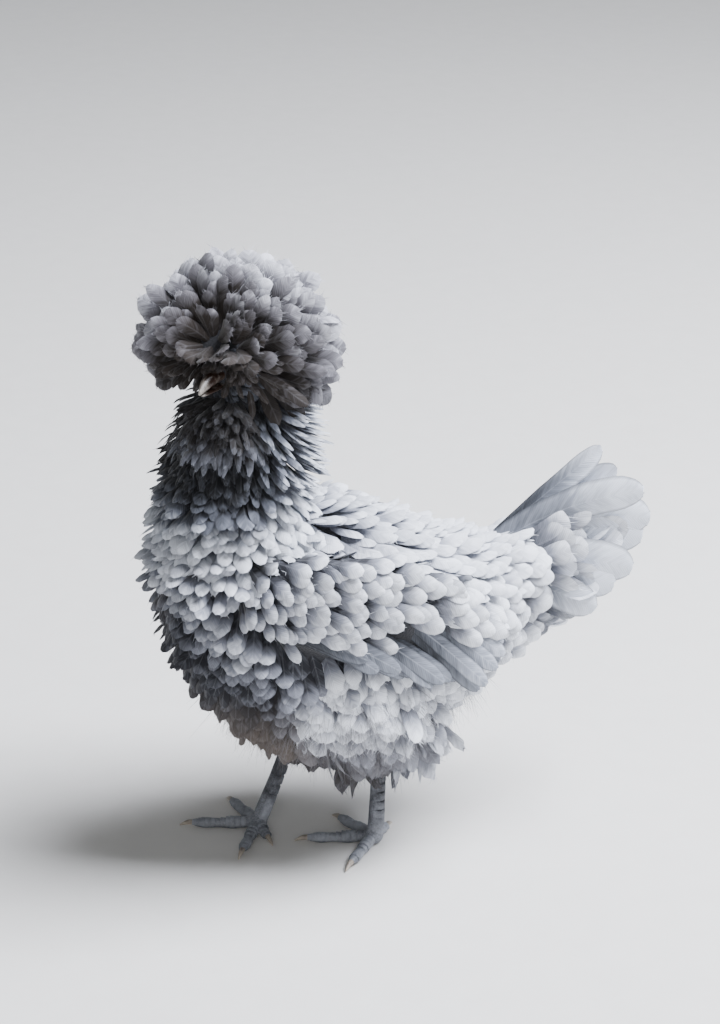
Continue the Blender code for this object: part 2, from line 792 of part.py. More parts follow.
def feather_torso(coat):
    """Rows of curled body feathers, which hang on the breast and run backward on the saddle."""
    form = Form(TORSO, BACK)
    for row, t in enumerate(form.row_places(TORSO_PITCH[0], -math.pi / 2)):
        for turn in form.ring_places(t, TORSO_PITCH[1], 0.5 * (row % 2)):
            root, out = form.point(t, turn), form.normal(t, turn)
            share = min(max((root.y / MM - LIE_FRONT) / LIE_LENGTH, 0.0), 1.0)
            kind = "breast" if root.y < BREAST_END * MM else "flank"
            if out.z > SADDLE_NORMAL:
                kind = "saddle"
            coat.add(kind, root, flat_on(BREAST_LIE.lerp(RUMP_LIE, share), out), out)


def feather_thigh(side, coat):
    """Loose feathers that hang round the thigh to below the hock."""
    form = Form(THIGH[side], -UP, -BACK)
    for row, t in enumerate(THIGH_ROWS):
        for turn in form.ring_places(t, THIGH_PITCH, 0.5 * (row % 2)):
            out = form.normal(t, turn)
            coat.add("thigh", form.point(t, turn), flat_on(-UP, out), out)


def centre_on_floor(nodes):
    """Moves every node so that the origin is the middle of the bottom of the hen's box."""
    low, high = Vector((1e9,) * 3), Vector((-1e9,) * 3)
    for node in nodes:
        for vert in node.data.vertices:
            low = Vector(map(min, low, vert.co))
            high = Vector(map(max, high, vert.co))
    shift = Vector((-(low.x + high.x) / 2, -(low.y + high.y) / 2, -low.z))
    for node in nodes:
        node.data.transform(Matrix.Translation(shift))


def main():
    for old in list(bpy.data.objects):
        bpy.data.objects.remove(old)
    nodes = make_head()
    cores = make_cores()
    for side in ("left", "right"):
        leg, thigh = make_leg(side)
        nodes += leg
        cores[thigh.name] = thigh
    nodes += cores.values()
    steps = {
        "wing_left": (lambda coat: feather_wing("left", coat), "wing"),
        "wing_right": (lambda coat: feather_wing("right", coat), "wing"),
        "tail": (feather_tail, "tail"),
        "crest": (feather_crest, "crest"),
        "beard": (feather_beard, "beard"),
        "neck": (feather_neck, "neck"),
        "thigh_left": (lambda coat: feather_thigh("left", coat), "thigh"),
        "thigh_right": (lambda coat: feather_thigh("right", coat), "thigh"),
        "torso": (feather_torso, "torso"),
    }
    for name, (dress, kind) in steps.items():
        coat = Plumage(cores[name], nodes)
        dress(coat)
        coat.join(kind)
    centre_on_floor(nodes)
    home = bpy.data.collections.new("frizzle_hen")
    bpy.context.scene.collection.children.link(home)
    for node in nodes:
        for old in list(node.users_collection):
            old.objects.unlink(node)
        home.objects.link(node)


main()
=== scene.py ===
"""Looks of a crested, bearded frizzle hen, as a life-size museum model.

Stations and sizes are in millimetres, in the frame of the solids before their last shift. SHIFT,
which is read from the left eye's node, moves them to where the solids are.
"""

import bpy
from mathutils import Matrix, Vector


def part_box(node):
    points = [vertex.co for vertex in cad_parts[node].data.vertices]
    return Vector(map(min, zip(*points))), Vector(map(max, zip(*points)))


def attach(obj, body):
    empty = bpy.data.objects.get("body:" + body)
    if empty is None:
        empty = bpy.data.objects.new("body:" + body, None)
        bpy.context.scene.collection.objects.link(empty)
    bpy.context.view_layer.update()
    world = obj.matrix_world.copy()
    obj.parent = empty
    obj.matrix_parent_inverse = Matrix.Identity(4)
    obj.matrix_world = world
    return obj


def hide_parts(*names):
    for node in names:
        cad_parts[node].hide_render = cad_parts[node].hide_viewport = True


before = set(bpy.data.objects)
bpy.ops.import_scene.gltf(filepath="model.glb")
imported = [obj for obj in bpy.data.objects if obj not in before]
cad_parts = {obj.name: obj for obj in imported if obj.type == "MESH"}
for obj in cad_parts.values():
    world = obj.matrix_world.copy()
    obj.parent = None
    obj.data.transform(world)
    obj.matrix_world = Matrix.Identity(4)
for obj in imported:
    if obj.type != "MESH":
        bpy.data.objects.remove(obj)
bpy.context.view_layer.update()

import copy
import math

import bpy
import numpy as np
from mathutils import Matrix, Vector

MM = 0.001
UP = np.array([0.0, 0.0, 1.0])
BACK = np.array([0.0, 1.0, 0.0])
LEFT = np.array([1.0, 0.0, 0.0])
# The hen's sides, and which way each lies along x.
SIDES = {"left": 1, "right": -1}

# Stations of the bodies, as in the solids: x, y, z, half width, half depth.
TORSO = [
    (0, -132, 224, 14, 20),
    (0, -122, 216, 34, 46),
    (0, -100, 203, 50, 67),
    (0, -65, 186, 61, 81),
    (0, -25, 177, 65, 83),
    (0, 15, 171, 63, 75),
    (0, 48, 171, 54, 60),
    (0, 80, 178, 41, 43),
    (0, 106, 189, 29, 30),
    (0, 121, 195, 17, 18),
]
# A ball that rounds off the breast, for its feathers.
BREAST_CENTRE = (0, -120, 223)
BREAST_HALF = (15, 15, 24)
NECK = [
    (0, -90, 240, 38, 38),
    (1, -91, 275, 36, 36),
    (3, -90, 305, 32, 32),
    (7, -89, 335, 26, 26),
    (10, -89, 364, 17, 17),
]
TAIL_BASE = [
    (0, 114, 196, 16, 18),
    (0, 128, 201, 17, 22),
    (0, 142, 206, 13, 19),
    (0, 154, 210, 6, 11),
]
WING = [
    (44, -106, 232, 5, 8),
    (53, -92, 228, 8, 24),
    (62, -58, 218, 9, 36),
    (66, -18, 209, 9, 38),
    (63, 22, 199, 8, 32),
    (56, 56, 188, 6, 22),
    (50, 74, 182, 3, 9),
]
THIGH = {
    "left": [
        (42, -20, 168, 26, 44),
        (43, -16, 136, 27, 44),
        (35, -4, 107, 17, 29),
        (25, 5, 92, 8, 12),
    ],
    "right": [
        (-42, -34, 168, 26, 44),
        (-43, -34, 136, 27, 44),
        (-35, -35, 107, 17, 29),
        (-26, -36, 92, 8, 12),
    ],
}
SHANK = {
    "left": [
        (23.5, 8, 98, 4.6, 5.4),
        (23, 8, 88, 5.8, 6.9),
        (22.5, 7, 72, 4.6, 5.8),
        (22, 6, 45, 4.3, 5.4),
        (22, 5, 20, 4.8, 5.8),
        (22, 4, 8, 5.2, 5.8),
    ],
    "right": [
        (-26, -33, 97, 4.6, 5.4),
        (-26, -36, 87, 5.8, 6.9),
        (-25, -43, 72, 4.6, 5.8),
        (-23.5, -54, 45, 4.3, 5.4),
        (-22, -65, 20, 4.8, 5.8),
        (-22, -70, 8, 5.2, 5.8),
    ],
}
HEAD_TURN = math.radians(47)
SKULL_CENTRE = (12, -93, 375)
SKULL_HALF = (17, 23, 17)
CREST_CENTRE = (5, -90, 384)
CREST_HALF = (33, 32, 27)
CREST_WHORL = (0.80, -0.54, 0.02)
BEARD_PLACE = (0, 8, -27)
BEARD_HALF = (20, 15, 15)
EYE_RADIUS = 4.3
EYE_PLACE = (13.8, 7, 3)
NOSTRIL_PLACE = (3.4, 28, 1.8)
BEAK_UPPER = [
    (0, 17, 1, 6.8, 5.8),
    (0, 27, 0.5, 5.5, 5.0),
    (0, 37, -1.5, 3.6, 3.6),
    (0, 45, -5, 1.0, 1.2),
]
BEAK_LOWER = [
    (0, 16, -7.5, 5.8, 2.4),
    (0, 27, -7.4, 4.5, 2.1),
    (0, 37, -7.5, 2.6, 1.4),
    (0, 41, -7.7, 0.9, 0.7),
]
BALL = {"left": (22, 3, 6.2), "right": (-22, -71, 6.2)}
BALL_HALF = (7.2, 7.6, 7.0)
TOES = {
    "left": {"inner": (-68, 36), "middle": (-18, 46), "outer": (47, 36), "back": (224, 18)},
    "right": {"inner": (57, 36), "middle": (-21, 46), "outer": (-78, 38), "back": (96, 18)},
}
BACK_TOE_LIFT = 2.0
CLAW_LENGTH = 12
CLAW_RADIUS = 2.3

# How far the skin lies inside the flesh of the solids, and how fine it and a leg's are remeshed.
SKIN_DEPTH = 1.6
SKIN_CELL = 2.6
LEG_CELL = 0.8
# How far apart the feathers' roots lie, and how wide a barb of down is.
BODY_PITCH = 7.6
THIGH_PITCH = 7.0
TAIL_COVERT_PITCH = 8.0
CREST_PITCH = 3.7
BEARD_PITCH = 2.8
FACE_PITCH = 2.4
DOWN_WIDTH = 0.45
# Half the size of a feather's patch on the skin's unwrap, and the angle from which an edge is sharp.
PATCH = 0.0015
SHARP_EDGE = math.radians(70)
# The tail's fan, from the top feather down: slope and lean at the root and bend to the tip, in
# degrees, share of the length, and width.
TAIL_FAN = [
    (34, 0, 8, 0.84, 20),
    (33, 1, 34, 0.96, 27),
    (25, 3, 34, 0.98, 34),
    (18, 6, 32, 0.93, 32),
    (10, 9, 28, 0.85, 30),
    (2, 12, 26, 0.77, 28),
    (-7, 15, 24, 0.68, 26),
]
TAIL_ROOT = (5, 101, 219)
TAIL_STEP = (0.5, -1.0, -4.8)
TAIL_LENGTH = 117
# The left wing's folded flight feathers, from the upper rear one to the lower front one: share of
# the way, root and tip.
FLIGHT_FEATHERS = [
    (0.0, (64, 24, 212), (61, 86, 166)),
    (0.4, (67, 2, 204), (63, 66, 143)),
    (0.6, (70, -28, 205), (71, 36, 154)),
    (0.8, (68, -54, 206), (76, 6, 167)),
    (1.0, (62, -82, 207), (78, -25, 180)),
]
FLIGHT_COUNT = 32
# Wing coverts: name, pitch, pitches between rows, first and last place along, lowest and highest
# angle, length, width, lift, curl, bend of the tip, steepness of the lie, how pale.
COVERTS = (
    ("shoulder_coverts", 6.4, 1.5, 0.0, 0.24, -55, 120, 30, 11.5, 19, 26, -36, 0.72, 0.76),
    ("median_coverts", 7.0, 1.8, 0.20, 0.46, -28, 120, 37, 12.2, 13, 22, -30, 0.42, 0.82),
    ("greater_coverts", 7.4, 2.0, 0.42, 0.70, 4, 120, 42, 13.2, 10, 18, -24, 0.36, 0.88),
    ("rear_coverts", 7.8, 2.0, 0.64, 0.90, -14, 120, 43, 13, 9, 14, -18, 0.62, 0.96),
)
# Feather finishes: material, its colours from deep to pale, its brown, barb width in millimetres,
# contrast, shaft, unevenness, edging and roughness.
FINISHES = {
    # Soft open keratin, light slate: pale curled tips over dark hollows, whose shade the deep colour
    # paints.
    "body": ("contour_feather", ("#2B2C32", "#8B8E99", "#F0F3FA"), "#6A5F56",
             2.0, 0.11, 0.05, 0.13, 0.76, 0.72),
    # Narrow feathers full of dark pigment, which swallow the light: neck, beard and face.
    "neck": ("hackle_feather", ("#131418", "#696D78", "#E4E8F0"), "#54493F",
             1.8, 0.08, 0.03, 0.16, 0.9, 0.72),
    # Dark too, worn brownish at the face, with grey tips: the crest's rosette.
    "crest": ("crest_feather", ("#131214", "#68676E", "#CFD0D8"), "#62503F",
              1.8, 0.08, 0.04, 0.17, 0.9, 0.72),
    # Barbs hooked together to a smooth vane, a little glossier, with a plain pale shaft.
    "flight": ("flight_feather", ("#3D4047", "#8C919C", "#E8EDF8"), "#8A837C",
               2.0, 0.09, 0.12, 0.14, 0.4, 0.6),
    # Loose hairs of down, rough and without gloss: a soft pale haze.
    "down": ("hairlike_down", ("#3A3A3F", "#8C8E96", "#D5D8DF"), "#6A5F56",
             2.4, 0.05, 0.0, 0.07, 1.0, 0.85),
}
# Lamps: name, place in metres, power in watts and colour.
LAMPS = (
    ("sky_panel", (0.4, 1.0, 2.3), 255, "#F1F5FF"),
    ("side_panel", (2.2, -0.9, 1.3), 14, "#FFFFFF"),
)
LAMP_AIM = (0, 0, 0.22)
LAMP_SIZE = 1.4
# Camera, from the photograph: its angle in degrees, its distance, and the point that it shows at
# the middle of the frame's width and height.
CAMERA_AZIMUTH = 72
CAMERA_ELEVATION = 24
CAMERA_DISTANCE = 1900
CAMERA_TARGET = (0, 0, 251)
CAMERA_SCALE = 1.45
IMAGE_HEIGHT = 1024


def unit(a):
    """Vectors of length one."""
    return a / np.maximum(np.linalg.norm(a, axis=-1, keepdims=True), 1e-9)


def flat_on(way, out):
    """The part of each direction that lies along the surface."""
    way = np.broadcast_to(way, out.shape)
    return unit(way - out * np.sum(way * out, axis=1, keepdims=True))


def smooth(a, low, high):
    """A soft step from 0 to 1."""
    s = np.clip((a - low) / (high - low), 0, 1)
    return s * s * (3 - 2 * s)


def heading(turn):
    """A level direction, turned from the front toward the hen's left."""
    return np.array([math.sin(turn), -math.cos(turn), 0.0])


def head_place(x, y, z):
    """A place on the head, x to its left, y forward and z up from the skull's middle, unshifted."""
    left = np.array([math.cos(HEAD_TURN), math.sin(HEAD_TURN), 0])
    return np.array(SKULL_CENTRE) + left * x + heading(HEAD_TURN) * y + UP * z


def node_shift():
    """Where the solids lie, from the left eye's node."""
    low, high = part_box("eye_left")
    return np.array((low + high) / 2) / MM - head_place(*EYE_PLACE)


SHIFT = node_shift()
# The side of head and neck that the light whitens: painted light makes the neck's feathers paler toward it,
# and painted shade the crest's darker.
LIT_SIDE = unit(np.array([0.31, 0.95, 0.0]))


class Form:
    """Elliptical sections carried along a bent centre line, as the solids have them."""

    def __init__(self, stations, along=None, up=UP):
        self.rows = np.array(stations, float)
        self.rows[:, :3] += SHIFT
        self.along, self.up = along, np.array(up)

    def at(self, t):
        """Centre and half sizes, on a smooth curve through the stations."""
        last = len(self.rows) - 1
        spot = np.clip(t, 0, 1) * last
        i = np.minimum(spot.astype(int), last - 1)
        s = (spot - i)[:, None]
        a, b, c, d = (self.rows[np.clip(i + k, 0, last)] for k in (-1, 0, 1, 2))
        return b + 0.5 * s * (c - a + s * (2 * a - 5 * b + 4 * c - d + s * (3 * (b - c) + d - a)))

    def point(self, t, turn, grow=0.0):
        """Points of the surface; turn runs from the width toward the depth."""
        row = self.at(t)
        if self.along is None:
            along = unit(self.at(t + 0.02)[:, :3] - self.at(t - 0.02)[:, :3])
        else:
            along = np.broadcast_to(self.along, (len(t), 3))
        depth = unit(self.up - along * (along @ self.up)[:, None])
        side = np.cross(along, depth)
        wide, deep = row[:, 3:4] + grow, row[:, 4:5] + grow
        return row[:, :3] + side * wide * np.cos(turn)[:, None] + depth * deep * np.sin(turn)[:, None]

    def normal(self, t, turn):
        """Outward directions of the surface."""
        step = 0.01
        along = self.point(t + step, turn) - self.point(t - step, turn)
        ring = self.point(t, turn + step) - self.point(t, turn - step)
        out = unit(np.cross(along, ring))
        inward = np.sum(out * (self.point(t, turn) - self.at(t)[:, :3]), axis=1) < 0
        return np.where(inward[:, None], -out, out)


class Ball:
    """An ellipsoid that turns with the head, with places given round an axis of its own."""

    def __init__(self, centre, half, axis):
        self.centre, self.half = np.array(centre, float) + SHIFT, np.array(half, float)
        self.axis = unit(np.array(axis, float))
        self.first = unit(np.cross(self.axis, [0.3, 0.2, 0.9]))
        self.second = np.cross(self.axis, self.first)
        cos, sin = math.cos(HEAD_TURN), math.sin(HEAD_TURN)
        self.own = np.array([[cos, sin, 0], [-sin, cos, 0], [0, 0, 1]])

    def way(self, t, turn):
        """Directions from the centre; t runs from 0 at the axis to 1 opposite it."""
        tilt = (np.clip(t, 0, 1) * np.pi)[:, None]
        radial = self.first * np.cos(turn)[:, None] + self.second * np.sin(turn)[:, None]
        return self.axis * np.cos(tilt) + radial * np.sin(tilt)

    def point(self, t, turn, grow=0.0):
        way = self.way(t, turn)
        reach = 1 / np.linalg.norm((way @ self.own.T) / (self.half + grow), axis=1)
        return self.centre + way * reach[:, None]

    def normal(self, t, turn):
        local = (self.point(t, turn) - self.centre) @ self.own.T / self.half**2
        return unit(local @ self.own)


def scatter(form, pitch, span=(0.02, 0.98), jitter=0.22, stretch=1.0, seed=1):
    """Places about one pitch apart over a form, in staggered, uneven rows stretch pitches apart."""
    draw = np.random.default_rng(seed)
    fine = np.linspace(*span, 200)
    length = sum(
        np.linalg.norm(np.diff(form.point(fine, np.full(200, a)), axis=0), axis=1)
        for a in np.arange(0, 2 * np.pi, np.pi / 4)
    )
    run = np.concatenate([[0], np.cumsum(length / 8)])
    angles = np.linspace(0, 2 * np.pi, 97)
    places, turns = [], []
    step = pitch * stretch
    for row, spot in enumerate(np.arange(0.3 * step, run[-1], step)):
        t = np.interp(spot, run, fine)
        ring = form.point(np.full(97, t), angles)
        around = np.concatenate([[0], np.cumsum(np.linalg.norm(np.diff(ring, axis=0), axis=1))])
        count = max(1, round(around[-1] / pitch))
        shift = 0.5 * (row % 2) + draw.uniform(-jitter, jitter, count)
        goal = ((np.arange(count) + shift) / count % 1) * around[-1]
        turns.append(np.interp(goal, around, angles))
        places.append(np.interp(spot + draw.uniform(-jitter, jitter, count) * step, run, fine))
    return np.concatenate(places), np.concatenate(turns)


class Roots:
    """Where feathers grow: places, outward directions, lies, and places on the skin's unwrap."""

    def __init__(self, form, t, turn):
        self.point, self.out = form.point(t, turn), form.normal(t, turn)
        self.t, self.turn = t, turn
        self.wrap = np.stack([turn / (2 * np.pi) % 1, np.clip(t, 0, 1)], axis=1) * 0.99 + 0.005
        self.lie = np.zeros_like(self.out)

    def keep(self, mask):
        """Leaves only the roots where the mask is true."""
        for name in ("point", "out", "t", "turn", "wrap", "lie"):
            setattr(self, name, getattr(self, name)[mask])
        return self

    def some(self, mask):
        """A copy with only the roots where the mask is true."""
        return copy.copy(self).keep(mask)

    def swing(self, degrees):
        """Turns each lie about its outward direction, by an angle of its own."""
        turn = np.radians(degrees)[:, None]
        self.lie = self.lie * np.cos(turn) + np.cross(self.out, self.lie) * np.sin(turn)
        return self

    def lay(self, way, spread, seed=1):
        """Lays the feathers along a direction, each turned a little its own way."""
        self.lie = flat_on(way, self.out)
        return self.swing(np.random.default_rng(seed).normal(0, spread, len(self)))

    def __len__(self):
        return len(self.t)


def outline(count, root, full, tip=0.12, blunt=0.5):
    """Places along a feather, closer toward the tip, and its width there as a share."""
    u = 1 - (1 - np.linspace(0, 1, count)) ** 1.9
    rise = root + (1 - root) * np.sin(0.5 * np.pi * np.clip(u / full, 0, 1))
    fall = (1 - np.clip((u - full) / (1 - full), 0, 1) ** 2) ** blunt
    return u, np.maximum(rise * fall, tip)


PETAL = outline(8, 0.30, 0.80, 0.30)
OVAL = outline(7, 0.40, 0.62, 0.22)
BLADE = outline(16, 0.6, 0.8, 0.34, 0.42)
# The points across a vane's upper side, and which of them have one below.
FEW_BARBS = np.linspace(-1, 1, 5), [2]
MANY_BARBS = np.linspace(-1, 1, 9), [6, 4, 2]


def tube_faces(count, rows, ring):
    """Faces of many closed tubes: their sides as quads, and each end as one face."""
    base = np.arange(count)[:, None, None] * rows * ring
    i, k = np.meshgrid(np.arange(rows - 1), np.arange(ring), indexing="ij")
    a, b = i * ring + k, i * ring + (k + 1) % ring
    sides = base + np.stack([a, b, b + ring, a + ring], axis=2).reshape(1, -1, 4)
    around = np.arange(ring)
    ends = base + np.stack([around[::-1], (rows - 1) * ring + around])[None]
    return sides.reshape(-1, 4), ends.reshape(-1, ring)


def put(name, data):
    """Puts a new object with its data into the scene."""
    made = bpy.data.objects.new(name, data)
    bpy.context.scene.collection.objects.link(made)
    return made


def mesh_piece(name, points, tone, warm, luck, along, beyond, edge, wrap, material):
    """Many closed tubes, given as arrays of feather, row and ring, as one mesh in metres.

    Its attributes carry the place on the vane and the colour, and its unwrap is the skin's.
    """
    count, rows, ring = points.shape[:3]
    sides, ends = tube_faces(count, rows, ring)
    mesh = bpy.data.meshes.new(name)
    mesh.vertices.add(count * rows * ring)
    mesh.vertices.foreach_set("co", (points * MM).astype(np.float32).ravel())
    corners = np.concatenate([sides.ravel(), ends.ravel()]).astype(np.int32)
    starts = np.concatenate([np.arange(len(sides)) * 4, 4 * len(sides) + np.arange(len(ends)) * ring])
    mesh.loops.add(len(corners))
    mesh.loops.foreach_set("vertex_index", corners)
    mesh.polygons.add(len(starts))
    mesh.polygons.foreach_set("loop_start", starts.astype(np.int32))
    mesh.update(calc_edges=True)
    mesh.shade_smooth()
    mesh.set_sharp_from_angle(angle=SHARP_EDGE)
    shape = (count, rows, ring)
    for key, parts in (("vane", (along, beyond, edge)), ("coat", (tone, warm, luck))):
        values = np.stack([np.broadcast_to(p, shape) for p in parts], axis=3)
        layer = mesh.attributes.new(key, "FLOAT_VECTOR", "POINT")
        layer.data.foreach_set("vector", values.astype(np.float32).ravel())
    across, along_it = PATCH * np.cos(np.arange(ring) * 2 * np.pi / ring), np.linspace(-PATCH, PATCH, rows)
    patch = np.stack(np.broadcast_arrays(across, along_it[:, None]), axis=2)
    places = (wrap[:, None, None] + patch).reshape(-1, 2)
    layer = mesh.uv_layers.new(name="OFBake")
    layer.data.foreach_set("uv", places[corners].astype(np.float32).ravel())
    mesh.materials.append(material)
    return put(name, mesh)


def shafts(roots, u, length, turns, depth):
    """Centres and directions of curved shafts, at places u along them.

    They start at a depth under their roots. turns are lift, curl, bend of the tip and turn aside.
    """
    count, steps = len(roots), 24
    lift, curl, tip_bend, aside = (np.broadcast_to(turn, count)[:, None] for turn in turns)
    s = (np.arange(steps) + 0.5) / steps
    angle = np.radians(lift + curl * s**1.4 + tip_bend * smooth(s, 0.66, 1.0))
    swing = np.radians(aside * s)
    run = length[:, None] / steps
    moves = (np.cos(angle) * np.cos(swing), np.cos(angle) * np.sin(swing), np.sin(angle))
    grid = np.linspace(0, 1, steps + 1)
    paths = [np.concatenate([np.zeros((count, 1)), np.cumsum(m * run, axis=1)], axis=1) for m in moves]
    spot = np.stack([np.stack([np.interp(u, grid, row) for row in path]) for path in paths], axis=2)
    tilt = np.stack([np.interp(u, s, row) for row in angle])[..., None]
    swerve = np.stack([np.interp(u, s, row) for row in swing])[..., None]
    lie, out = roots.lie[:, None], roots.out[:, None]
    side = np.cross(roots.lie, roots.out)[:, None]
    start = roots.point[:, None] - out * depth
    centre = start + lie * spot[..., :1] + side * spot[..., 1:2] + out * spot[..., 2:]
    level = lie * np.cos(swerve) + side * np.sin(swerve)
    return centre, unit(level * np.cos(tilt) + out * np.sin(tilt))


def vanes(
    name, roots, shape, length, width, lift, curl, *, material, tip_bend=0.0, camber=0.25,
    shade=(0.2, 0.7), warm=0.0, across=FEW_BARBS, thick=0.5, depth=3.0, ragged=0.05, fray=0.0,
    uneven=0.1, sway=5.0, sweep=0.0, roll=8.0, barbs=0, seed=1,
):
    """Feathers as one mesh of closed, cupped vanes that rise from their roots along their lie.

    Each is a lens section carried along its curved shaft. lift is the angle off the skin at the
    root, curl what the feather turns away from it by the tip, tip_bend what its last part turns
    back, and sweep what it turns to the side, in degrees. fray is how far the tip's points stand
    apart, in millimetres, and barbs how many loose ones stand round each tip.
    """
    draw = np.random.default_rng(seed)
    count, (u, wide) = len(roots), shape
    rows = len(u)
    length = np.broadcast_to(length, count) * draw.uniform(1 - uneven, 1 + uneven, count)
    width = np.broadcast_to(width, count) * draw.uniform(1 - uneven, 1 + uneven, count)
    lift = np.broadcast_to(lift, count) + draw.normal(0, 3.5, count)
    curl = np.broadcast_to(curl, count) * draw.uniform(0.7, 1.3, count)

    aside = 2 * draw.normal(0, sway, count) + np.broadcast_to(sweep, count)
    centre, way = shafts(roots, u, length, (lift, curl, tip_bend, aside), depth)
    lie, out = roots.lie[:, None], roots.out[:, None]
    turn = np.radians(draw.normal(0, roll, count))[:, None, None] * (0.3 + 0.7 * u[None, :, None])
    beside = unit(np.cross(way, out + lie * 1e-3))
    face = np.cross(beside, way)
    beside, face = beside * np.cos(turn) + face * np.sin(turn), face * np.cos(turn) - beside * np.sin(turn)

    top, below = across
    v = np.concatenate([top, top[below]])
    under = np.concatenate([np.zeros(len(top)), np.ones(len(below))])
    half = 0.5 * width[:, None] * wide * (1 + draw.normal(0, ragged, (count, rows)))
    cup = camber * (1.1 - 0.45 * u[None]) * draw.uniform(0.7, 1.3, (count, 1))
    body = thick * (1 - 0.75 * u)[None, :, None] * (1 - v**2)[None, None]
    height = -cup[..., None] * half[..., None] * v**2 + body * (0.5 - under)
    teeth = draw.normal(0, 1, (count, len(top))) * np.broadcast_to(fray, count)[:, None]
    teeth = np.concatenate([teeth, teeth[:, below]], axis=1)[:, None] * smooth(u, 0.7, 1.0)[None, :, None]
    points = (
        centre[:, :, None]
        + beside[:, :, None] * (half[..., None] * v)[..., None]
        + face[:, :, None] * height[..., None]
        + way[:, :, None] * teeth[..., None]
    )
    luck = draw.uniform(0, 1, (count, 1, 1))
    low, high = (np.broadcast_to(x, count)[:, None] for x in shade)
    # The tone runs from the root's to the tip's: the darker root is partly the feather's own base, partly
    # painted shade where the feathers overlap.
    tone = low + (high - low) * smooth(u, 0.3, 0.95)[None] + draw.normal(0, 0.06, (count, 1))
    # A painted highlight pales the edges toward the tip, and painted shade darkens the underside.
    rim = 0.1 * (v**2)[None, None] * smooth(u, 0.5, 0.9)[None, :, None]
    tone = np.clip(tone[..., None] + rim - 0.1 * under, 0, 1)
    brown = np.broadcast_to(warm, count)[:, None, None]
    along = (length[:, None] * u)[..., None]
    beyond = half[..., None] * v
    pieces = [mesh_piece(name, points, tone, brown, luck, along, beyond, np.abs(v), roots.wrap, material)]
    if barbs:
        each = np.repeat(np.arange(count), barbs)
        row = draw.integers(rows // 2, rows, len(each))
        sign = draw.choice([-1, 1], len(each))
        corner = points[each, row, np.where(sign < 0, 0, len(top) - 1)]
        inner = centre[each, row]
        share = draw.uniform(0.0, 0.9, len(each))[:, None]
        aim = way[each, row] * draw.uniform(0.7, 1.3, len(each))[:, None]
        aim = unit(aim + beside[each, row] * (sign * draw.uniform(0.1, 0.9, len(each)))[:, None])
        turned = draw.normal(0, 0.25, (len(each), 3)) - face[each, row] * 0.15
        reach = width[each] * draw.uniform(0.2, 0.42, len(each))
        pale = tone[each, row, 0] + draw.normal(0.03, 0.07, len(each))
        pieces.append(strands(
            f"{name}_barbs", corner + (inner - corner) * share - aim, aim, turned, reach, 0.4, pale,
            brown[each, 0, 0], roots.wrap[each], material, rows=2, seed=seed + 500,
        ))
    return pieces


def strands(name, start, way, bend, length, width, tone, warm, wrap, material, rows=5, seed=1):
    """Hairlike barbs as one mesh of thin three-sided strands, each from way toward bend."""
    draw = np.random.default_rng(seed)
    count = len(start)
    s = np.linspace(0, 1, rows)[None, :, None]
    length = np.broadcast_to(length, count)
    centre = start[:, None] + length[:, None, None] * (way[:, None] * s + 0.5 * bend[:, None] * s**2)
    along = unit(way[:, None] + bend[:, None] * s)
    beside = unit(np.cross(along, unit(draw.normal(0, 1, (count, 1, 3)))))
    face = np.cross(beside, along)
    turn = np.arange(3) * 2 * np.pi / 3
    radius = 0.5 * width * (1 - 0.85 * s[..., None])
    points = centre[:, :, None] + radius * (
        beside[:, :, None] * np.cos(turn)[:, None] - face[:, :, None] * np.sin(turn)[:, None]
    )
    tone = np.broadcast_to(tone, count)[:, None, None] * np.ones((1, rows, 1))
    warm = np.broadcast_to(warm, count)[:, None, None]
    luck = draw.uniform(0, 1, (count, 1, 1))
    run = length[:, None, None] * s
    return mesh_piece(name, points, np.clip(tone, 0, 1), warm, luck, run, 0.0, 0.5, wrap, material)


def linear(colour):
    """An sRGB hex colour as linear values."""
    parts = [int(colour[i : i + 2], 16) / 255 for i in (1, 3, 5)]
    return (*[c / 12.92 if c <= 0.04045 else ((c + 0.055) / 1.055) ** 2.4 for c in parts], 1.0)


def feed(tree, node, links):
    """Sets or links sockets, by name or number, from a value, a socket or a node's first output."""
    for socket, source in links.items():
        if isinstance(source, bpy.types.Node):
            source = source.outputs[0]
        if isinstance(source, bpy.types.NodeSocket):
            tree.links.new(source, node.inputs[socket])
        else:
            node.inputs[socket].default_value = source


def add(tree, kind, links=(), colours=(), **settings):
    """Adds a node with its settings, its links and, on a ramp, the colours at their places."""
    node = tree.nodes.new(f"ShaderNode{kind}")
    for key, value in settings.items():
        setattr(node, key, value)
    feed(tree, node, dict(links))
    for spot, colour in dict(colours).items():
        stops = node.color_ramp.elements
        stop = stops[0] if spot == 0 else stops[-1] if spot == 1 else stops.new(spot)
        stop.color = linear(colour)
    return node


def new_material(name, sockets):
    """A material with its shader's own values set, its tree and its shader."""
    material = bpy.data.materials.new(name)
    material.use_nodes = True
    shader = material.node_tree.nodes["Principled BSDF"]
    feed(material.node_tree, shader, sockets)
    return material, material.node_tree, shader


